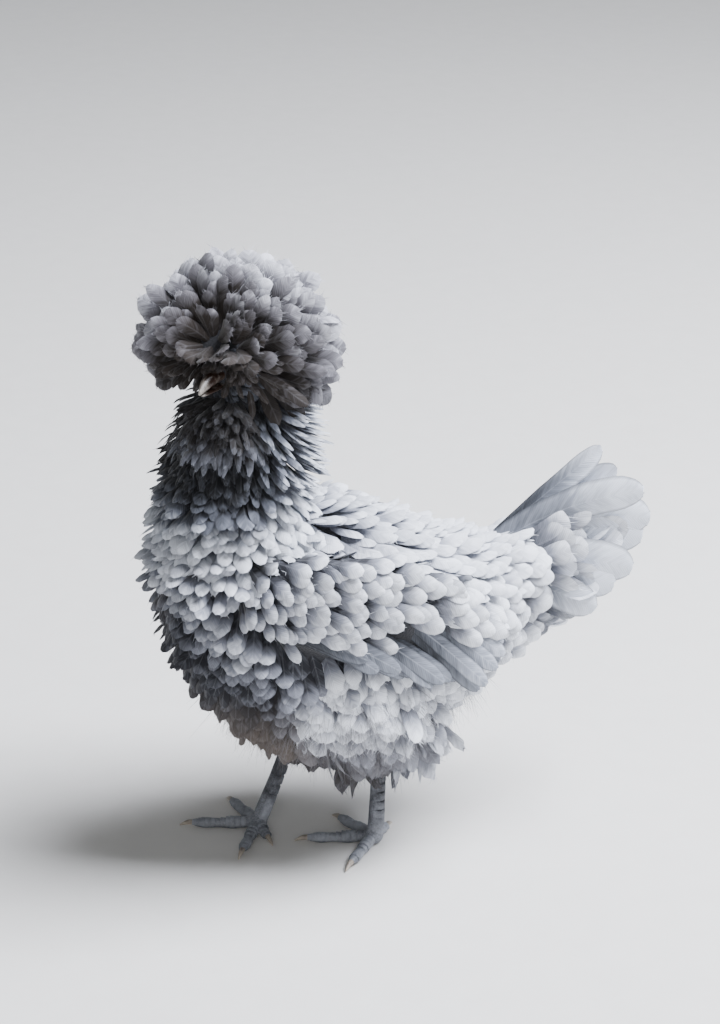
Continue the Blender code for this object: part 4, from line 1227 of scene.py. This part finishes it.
def flight_feathers(side, form, material):
    """A folded wing's long feathers, one beside the next."""
    sign = SIDES[side]
    share = np.linspace(0, 1, FLIGHT_COUNT)
    table = np.array([(s, *root, *tip) for s, root, tip in FLIGHT_FEATHERS])
    spots = np.stack([np.interp(share, table[:, 0], table[:, k]) for k in range(1, 7)], axis=1)
    root, tip = spots[:, :3] * (sign, 1, 1), spots[:, 3:] * (sign, 1, 1)
    roots = Roots(form, 0.2 + 0.6 * (1 - share), np.full(FLIGHT_COUNT, 0.0 if sign > 0 else np.pi))
    roots.point, roots.lie = root + SHIFT, unit(tip - root)
    roots.out = flat_on(LEFT * sign + UP * 0.3, roots.lie)
    return vanes(
        f"flight_feathers_{side}", roots, BLADE, np.linalg.norm(tip - root, axis=1), 13, 1, 7,
        tip_bend=-4, sweep=sign * 5.0, camber=0.22, shade=(-0.05, 0.23 + 0.41 * (1 - share)),
        across=MANY_BARBS, uneven=0.03, ragged=0.02, roll=3, sway=1.5, depth=0.0, fray=0.3,
        material=material, seed=65,
    )


def tail_roots(base, slots):
    """The roots of the tail's fan; slots are sides and rows of TAIL_FAN."""
    roots = Roots(base, np.full(len(slots), 0.6), np.linspace(0.2, 6.0, len(slots)))
    for n, (sign, k) in enumerate(slots):
        slope, lean = (math.radians(a) for a in TAIL_FAN[k][:2])
        lie = LEFT * sign * math.sin(lean) + BACK * math.cos(lean) * math.cos(slope) + UP * math.sin(slope)
        roots.lie[n] = unit(lie)
        roots.out[n] = LEFT * sign + UP * 0.1
        place = np.array(TAIL_ROOT) + np.array(TAIL_STEP) * k
        roots.point[n] = place * np.array([sign, 1, 1]) + SHIFT
    roots.out = flat_on(roots.out, roots.lie)
    return roots


def feather_tail(materials):
    """Broad smooth tail feathers in a tent, with rows of rounded coverts over their roots."""
    base = Form(TAIL_BASE, BACK)
    # The left half has one feather less, at the top.
    slots = [(sign, k) for sign in (1, -1) for k in range((sign + 1) // 2, len(TAIL_FAN))]
    sweep = np.array([sign * TAIL_FAN[k][2] for sign, k in slots])
    share, width = np.array([TAIL_FAN[k][3:] for _, k in slots]).T
    pieces = vanes(
        "tail_feathers", tail_roots(base, slots), BLADE, TAIL_LENGTH * share, width, 2, 6, sweep=sweep,
        camber=0.26, shade=(0.25, 1.0), across=MANY_BARBS, thick=0.7, ragged=0.012, uneven=0.02,
        roll=4, sway=1, fray=0.4, material=materials["flight"], seed=71,
    )
    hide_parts("tail")
    return pieces + tail_coverts(base, materials["body"])


def tail_coverts(base, material):
    """Rounded coverts round the tail's root, and fluff under it."""
    roots = Roots(base, *scatter(base, TAIL_COVERT_PITCH, (0.0, 0.95), seed=72))
    roots.lay(BACK + UP * (0.1 + 0.34 * roots.out[:, 2:3]), 6, seed=73)
    over = smooth(roots.out[:, 2], 0.0, 0.6)
    # The upper ones lie against the sides of the tent.
    tent = LEFT * np.where(roots.out[:, 0:1] < 0, -1, 1) * over[:, None]
    roots.point += 4 * tent
    roots.out = flat_on(roots.out + 1.6 * tent, roots.lie)
    length = (34 + 18 * roots.t) * (1 - 0.12 * over)
    pieces = vanes(
        "tail_coverts", roots, PETAL, length, 21, 6 - 4 * over, 10 - 5 * over, tip_bend=-8,
        camber=0.3, shade=(0.2, 0.92), barbs=2, material=material, seed=74,
    )
    under = roots.some(roots.out[:, 2] < -0.2)
    return pieces + vanes(
        "under_tail_fluff", under, PETAL, 38, 17, 24, 24, tip_bend=-14, camber=0.3, shade=(0.2, 0.85),
        fray=0.8, barbs=10, roll=16, sway=9, material=material, seed=75,
    )


def feather_thigh(side, materials):
    """Loose round-tipped feathers over the thigh, with hairlike down at its lower end."""
    x, y, z, wide, deep = THIGH[side][0]
    # The coat starts above the thigh's flesh, so that the wing hides the first row's roots.
    form = Form([(0.9 * x, y, z + 20, wide, deep), *THIGH[side]], -UP, -BACK)
    roots = Roots(form, *scatter(form, THIGH_PITCH, (0.0, 0.98), jitter=0.3, seed=81))
    roots.keep(~under_wing(roots.point, 20.0, -22.0))
    height = roots.point[:, 2]
    # Fuller behind.
    behind = smooth(roots.out[:, 1], 0.1, 0.7) * smooth(height, 103, 122)
    roots.lay(-UP + BACK * (0.1 + 0.4 * behind[:, None]), 9, seed=82)
    low, high = smooth(height, 152, 116), smooth(height, 140, 170)
    # Darker and browner low at the front, partly the feathers' own brown, partly painted shade; painted
    # shade also darkens the lowest ones.
    dark = low * smooth(roots.point[:, 1] - SHIFT[1], 40, 0)
    pale = 0.95 - 0.76 * dark - 0.2 * smooth(height, 124, 98)
    pieces = vanes(
        f"thigh_feathers_{side}", roots, PETAL, 33 + 12 * low + 11 * behind, 14.5 + 2 * low,
        17 - 10 * high + 14 * behind * low, 26 - 12 * high, tip_bend=-30, camber=0.26,
        shade=(0.0, pale), warm=0.2 * dark, fray=0.5 + 1.7 * low, ragged=0.08, barbs=14, uneven=0.16,
        roll=12, sway=7, material=materials["body"], seed=83,
    )
    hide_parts(f"thigh_{side}")
    return pieces + [thigh_down(side, roots, dark, materials["down"])]


def thigh_down(side, roots, dark, material):
    """Hairlike down that hangs from the thigh's lower end."""
    draw = np.random.default_rng(84)
    each = np.repeat(np.flatnonzero(roots.point[:, 2] < 146), 18)
    start = roots.point[each] + draw.normal(0, 2.5, (len(each), 3)) - roots.out[each] * 2
    way = unit(roots.out[each] * 0.6 - UP * 0.8 + draw.normal(0, 0.25, (len(each), 3)))
    bend = -UP * 0.4 + draw.normal(0, 0.4, (len(each), 3))
    length = draw.uniform(17, 29, len(each))
    # Darker low at the front, partly its own brown tone, partly painted shade, as on the thigh's feathers.
    return strands(
        f"thigh_down_{side}", start, way, bend, length, DOWN_WIDTH, 0.62 - 0.3 * dark[each], 0.3,
        roots.wrap[each], material, seed=85,
    )


def make_eyes(face):
    """Eyeballs with a bulged wet front, each in a ring of lid skin."""
    pieces = []
    for side, sign in SIDES.items():
        x, y, z = EYE_PLACE
        centre = (head_place(sign * x, y, z) + SHIFT) * MM
        way = unit(centre - (np.array(SKULL_CENTRE) + SHIFT) * MM)
        turn = Vector(way).to_track_quat("Z", "Y").to_euler()
        bpy.ops.mesh.primitive_uv_sphere_add(
            segments=32, ring_count=20, radius=EYE_RADIUS * MM * 0.97, location=centre, rotation=turn
        )
        eye = bpy.context.object
        apply_place()
        # The cornea bulges at the front.
        front = Vector(centre + way * EYE_RADIUS * MM)
        select(eye, "VERT", lambda vert: (vert.co - front).length < 1.6 * MM)
        bpy.ops.transform.translate(value=plain(way * 0.35 * MM))
        bpy.ops.object.mode_set(mode="OBJECT")
        settle(eye, f"eyeball_{side}", eye_material(centre, way))
        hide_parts(f"eye_{side}")

        # The lids ring the eye, and open a little less high than wide.
        spot = centre + way * 2.2 * MM
        bpy.ops.mesh.primitive_torus_add(
            location=spot, rotation=turn, major_segments=36, minor_segments=10,
            major_radius=EYE_RADIUS * 0.9 * MM, minor_radius=0.9 * MM,
        )
        lids = bpy.context.object
        apply_place()
        bpy.ops.object.mode_set(mode="EDIT")
        bpy.ops.mesh.select_all(action="SELECT")
        bpy.ops.transform.resize(value=(1, 1, 0.88), center_override=plain(spot))
        bpy.ops.object.mode_set(mode="OBJECT")
        settle(lids, f"eyelids_{side}", face)
        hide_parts("head")
        pieces += [eye, lids]
    return pieces


def make_beak():
    """Upper beak with a raised ridge and sunk nostrils, and the lower beak under it."""
    forward = heading(HEAD_TURN)
    base = float(forward @ ((head_place(0, 17, 0) + SHIFT) * MM))
    horn = horn_material("polished_beak_horn", "#2B1B13", "#C4BDB4", forward, (base + 0.018, base + 0.031))
    pieces = []
    halves = (("beak_upper", BEAK_UPPER, 14, 24), ("beak_lower", BEAK_LOWER, 10, 20))
    for name, stations, rings, sides in halves:
        rows = along_curve([(x, -y, z, wide, deep) for x, y, z, wide, deep in stations], rings)
        beak = draw_out(rows, 1, sides, -0.1)
        if name == "beak_upper":
            middle = dict(zip(np.round(rows[:, 1], 2), rows[:, 2] + 0.86 * rows[:, 4]))
            select(beak, "VERT", lambda vert: vert.co.z / MM > middle[round(vert.co.y / MM, 2)])
            bpy.ops.transform.translate(value=(0, 0, 0.45 * MM))
            for sign in (1, -1):
                x, y, z = NOSTRIL_PLACE
                spot = Vector((sign * (x + 1.5), -y, z)) * MM
                bpy.ops.object.mode_set(mode="OBJECT")
                nearest = min(beak.data.polygons, key=lambda face: (face.center - spot).length)
                select(beak, "FACE", lambda face, chosen=nearest.index: face.index == chosen)
                bpy.ops.mesh.inset(thickness=0.35 * MM)
                bpy.ops.mesh.extrude_region_move(TRANSFORM_OT_translate={"value": (-sign * 0.7 * MM, 0, 0)})
            bpy.ops.object.mode_set(mode="OBJECT")
        place_piece(beak, HEAD_TURN, SKULL_CENTRE)
        round_off(beak)
        settle(beak, f"{name}_horn", horn)
        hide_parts(name)
        pieces.append(beak)
    return pieces


def toe_rows(length, lift, count):
    """A toe's sections along x from the ball's middle, with swollen joints."""
    rows = along_curve([
        (0, 0, lift, 5.0, 4.6),
        (0.3 * length, 0, 0.6 * lift - 1.6, 4.4, 4.6),
        (0.62 * length, 0, -2.5, 3.8, 3.8),
        (0.9 * length, 0, -2.8, 3.5, 3.5),
        (length, 0, -3.0, 2.2, 2.4),
    ], count)
    rows[:, 3:5] *= 0.95 + 0.08 * np.cos(np.linspace(0, 6 * np.pi, count))[:, None]
    return rows


def scale_plate(radius, height):
    """One scale plate: half of a pipe, flared at its lower edge, thick and round-edged."""
    bpy.ops.mesh.primitive_cylinder_add(
        vertices=16, radius=radius * MM, depth=height * MM, end_fill_type="NOTHING"
    )
    plate = bpy.context.object
    edit_all()
    bpy.ops.mesh.bisect(plane_co=(0, 0.2 * radius * MM, 0), plane_no=(0, 1, 0), clear_outer=True)
    bpy.ops.object.mode_set(mode="OBJECT")
    select(plate, "VERT", lambda vert: vert.co.z < 0)
    bpy.ops.transform.resize(value=(1.05, 1.05, 1), center_override=(0, 0, -0.5 * height * MM))
    bpy.ops.object.mode_set(mode="OBJECT")
    step = plate.modifiers.new("thick", "SOLIDIFY")
    step.thickness, step.offset = 0.4 * MM, 0.0
    step = plate.modifiers.new("round_edge", "BEVEL")
    step.width, step.segments = 0.15 * MM, 1
    apply_all(plate)
    return plate


def copies(piece, places, name):
    """A piece copied to each place, every copy with its own mesh, joined to one object."""
    made = []
    for place in places:
        other = put(name, piece.data.copy())
        other.data.transform(place)
        made.append(other)
    bpy.data.objects.remove(piece)
    return join(made, name)


def shank_plates(side):
    """Plates down the front of a shank, one over the next."""
    count, radius = 17, 5.0
    rows = Form(SHANK[side]).at(np.linspace(0.1, 0.97, count))
    ahead = heading(math.radians(TOES[side]["middle"][0]))
    turn = Matrix.Rotation(math.atan2(ahead[0], -ahead[1]), 4, "Z")
    slope = Vector(unit(rows[0, :3] - rows[-1, :3])).to_track_quat("Z", "Y").to_matrix().to_4x4()
    places = []
    for row in rows:
        size = Matrix.Diagonal(((row[3] + 0.1) / radius, (row[4] + 0.1) / radius, 1, 1))
        places.append(Matrix.Translation(Vector(row[:3]) * MM) @ slope @ turn @ size)
    return copies(scale_plate(radius, 6.2), places, f"shank_plates_{side}")


def toe_plates(side):
    """Plates over the upper side of each toe, from the ball to the claw."""
    radius, places = 4.0, []
    for name, (degrees, length) in TOES[side].items():
        lift = BACK_TOE_LIFT if name == "back" else 0.0
        count = round(length / 3.6)
        rows = toe_rows(length, lift, 60)
        spin = Matrix.Rotation(math.radians(degrees - 90), 4, "Z")
        start = Matrix.Translation(Vector((np.array(BALL[side]) + SHIFT) * MM))
        # The plate's length goes along the toe and its middle faces up.
        lie = Matrix.Rotation(math.radians(-90), 4, "Y") @ Matrix.Rotation(math.radians(90), 4, "Z")
        for share in np.linspace(0.2, 0.95, count):
            row = rows[int(share * 59)]
            size = Matrix.Diagonal((1, (row[3] + 0.05) / radius, (row[4] + 0.05) / radius, 1))
            places.append(start @ spin @ Matrix.Translation(Vector(row[:3]) * MM) @ size @ lie)
    return copies(scale_plate(radius, 3.9), places, f"toe_plates_{side}")


def make_leg(side, leather, keratin, horn):
    """Shank, ball and toes as one skin, plates over their front, and claws."""
    ball = np.array(BALL[side])
    shank = draw_out(Form(SHANK[side]).at(np.linspace(0, 1, 14)), 2, 24)
    bodies = [shank, ball_piece(ball, BALL_HALF, 0)]
    pieces = []
    for name, (degrees, length) in TOES[side].items():
        turn = math.radians(degrees - 90)
        lift = BACK_TOE_LIFT if name == "back" else 0.0
        bodies.append(place_piece(draw_out(toe_rows(length, lift, 20), 0, 20), turn, ball))
        radius = CLAW_RADIUS
        rows = along_curve([
            (length - 3.5, 0, 3.6, radius, radius),
            (length + 3.5, 0, 3.8, 0.8 * radius, 0.9 * radius),
            (length + 0.6 * CLAW_LENGTH, 0, 2.9, 0.55 * radius, 0.7 * radius),
            (length + 0.92 * CLAW_LENGTH, 0, 1.2, 0.2 * radius, 0.25 * radius),
        ], 9)
        claw = place_piece(draw_out(rows, 0, 12), turn, ball * np.array([1, 1, 0]))
        round_off(claw)
        settle(claw, f"claw_horn_{side}_{name}", horn)
        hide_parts(f"claw_{side}_{name}")
        pieces.append(claw)
    leg = one_skin(bodies, f"leg_skin_{side}", LEG_CELL, 3)
    activate(leg)
    edit_all()
    bpy.ops.mesh.bisect(plane_co=(0, 0, 0), plane_no=(0, 0, 1), clear_inner=True, use_fill=True)
    bpy.ops.object.mode_set(mode="OBJECT")
    settle(leg, f"leg_skin_{side}", leather)
    plates = [settle(shank_plates(side), f"shank_plates_{side}", keratin)]
    plates.append(settle(toe_plates(side), f"toe_plates_{side}", keratin))
    for piece in plates:
        piece.data.set_sharp_from_angle(angle=math.radians(50))
    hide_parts(f"shank_{side}", f"foot_{side}")
    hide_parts(f"shank_{side}")
    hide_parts(f"foot_{side}")
    return pieces + [leg] + plates


def make_ground():
    """A plain pale floor."""
    bpy.ops.mesh.primitive_plane_add(size=12)
    floor = bpy.context.object
    material, tree, shader = new_material("matt_pale_board", {"Roughness": 0.85})
    place = add(tree, "TexCoord").outputs["Object"]
    grain = add(tree, "TexNoise", {"Vector": place, "Scale": 40.0, "Detail": 4.0})
    colour = add(tree, "ValToRGB", {0: grain}, {0.0: "#DEDCD8", 1.0: "#E6E4E0"})
    feed(tree, shader, {"Base Color": colour})
    floor.data.materials.append(material)
    floor.name = "floor"


def make_light(name, place, power, colour):
    """A soft square lamp that faces the hen."""
    lamp = bpy.data.lights.new(name, "AREA")
    lamp.size, lamp.energy = LAMP_SIZE, power
    lamp.color = linear(colour)[:3]
    made = put(name, lamp)
    made.location = place
    made.rotation_euler = (Vector(LAMP_AIM) - Vector(place)).to_track_quat("-Z", "Y").to_euler()


def light_scene():
    """An even pale sky and two lamps."""
    world = bpy.data.worlds.new("studio")
    bpy.context.scene.world = world
    world.use_nodes = True
    sky = world.node_tree.nodes["Background"]
    feed(world.node_tree, sky, {"Color": linear("#E9EDF2"), "Strength": 0.23})
    for lamp in LAMPS:
        make_light(*lamp)


def set_camera():
    """The photograph's view: the target lies at the middle of the frame."""
    elevation = math.radians(CAMERA_ELEVATION)
    level = heading(math.radians(CAMERA_AZIMUTH))
    away = Vector(level * math.cos(elevation) + UP * math.sin(elevation))
    target = Vector((np.array(CAMERA_TARGET) + SHIFT * np.array([1, 1, 0])) * MM)
    camera = bpy.data.cameras.new("camera")
    camera.sensor_width = 36
    camera.lens = CAMERA_SCALE * CAMERA_DISTANCE * camera.sensor_width / IMAGE_HEIGHT
    camera.sensor_fit = "AUTO"
    made = put("camera", camera)
    made.location = target + away * CAMERA_DISTANCE * MM
    made.rotation_euler = (-away).to_track_quat("-Z", "Y").to_euler()
    bpy.context.scene.camera = made


def main():
    materials = {key: feather_material(*finish) for key, finish in FINISHES.items()}
    skin = make_skin(down_material())
    flesh = ["torso", "neck", "head", "crest", "beard", "tail"]
    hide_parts(*flesh, "wing_left", "wing_right", "thigh_left", "thigh_right")
    body = feather_torso(materials)
    dark = feather_neck(materials) + feather_beard(materials) + feather_face(materials)
    crest = feather_crest(materials)
    flight = feather_tail(materials)
    for side in SIDES:
        flight += feather_wing(side, materials)
        body += feather_thigh(side, materials)
    face = scale_material("dark_lid_skin", "#1A1413", "#4A3A36", 1.4, 0.45)
    bare = make_eyes(face) + make_beak()
    leather = scale_material("small_leg_scales", "#2F3137", "#8D9098", 1.7, 0.45)
    keratin = scale_material("worn_scale_plates", "#33353B", "#989BA3", 6.0, 0.1)
    horn = horn_material("dull_claw_horn", "#57504A", "#C9BDAE", (0.0, 0.0, -1.0), (-0.008, -0.002))
    for side in SIDES:
        bare += make_leg(side, leather, keratin, horn)
    for piece in [skin, *body, *dark, *crest, *flight, *bare]:
        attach(piece, "root")
    make_ground()
    light_scene()
    set_camera()


main()
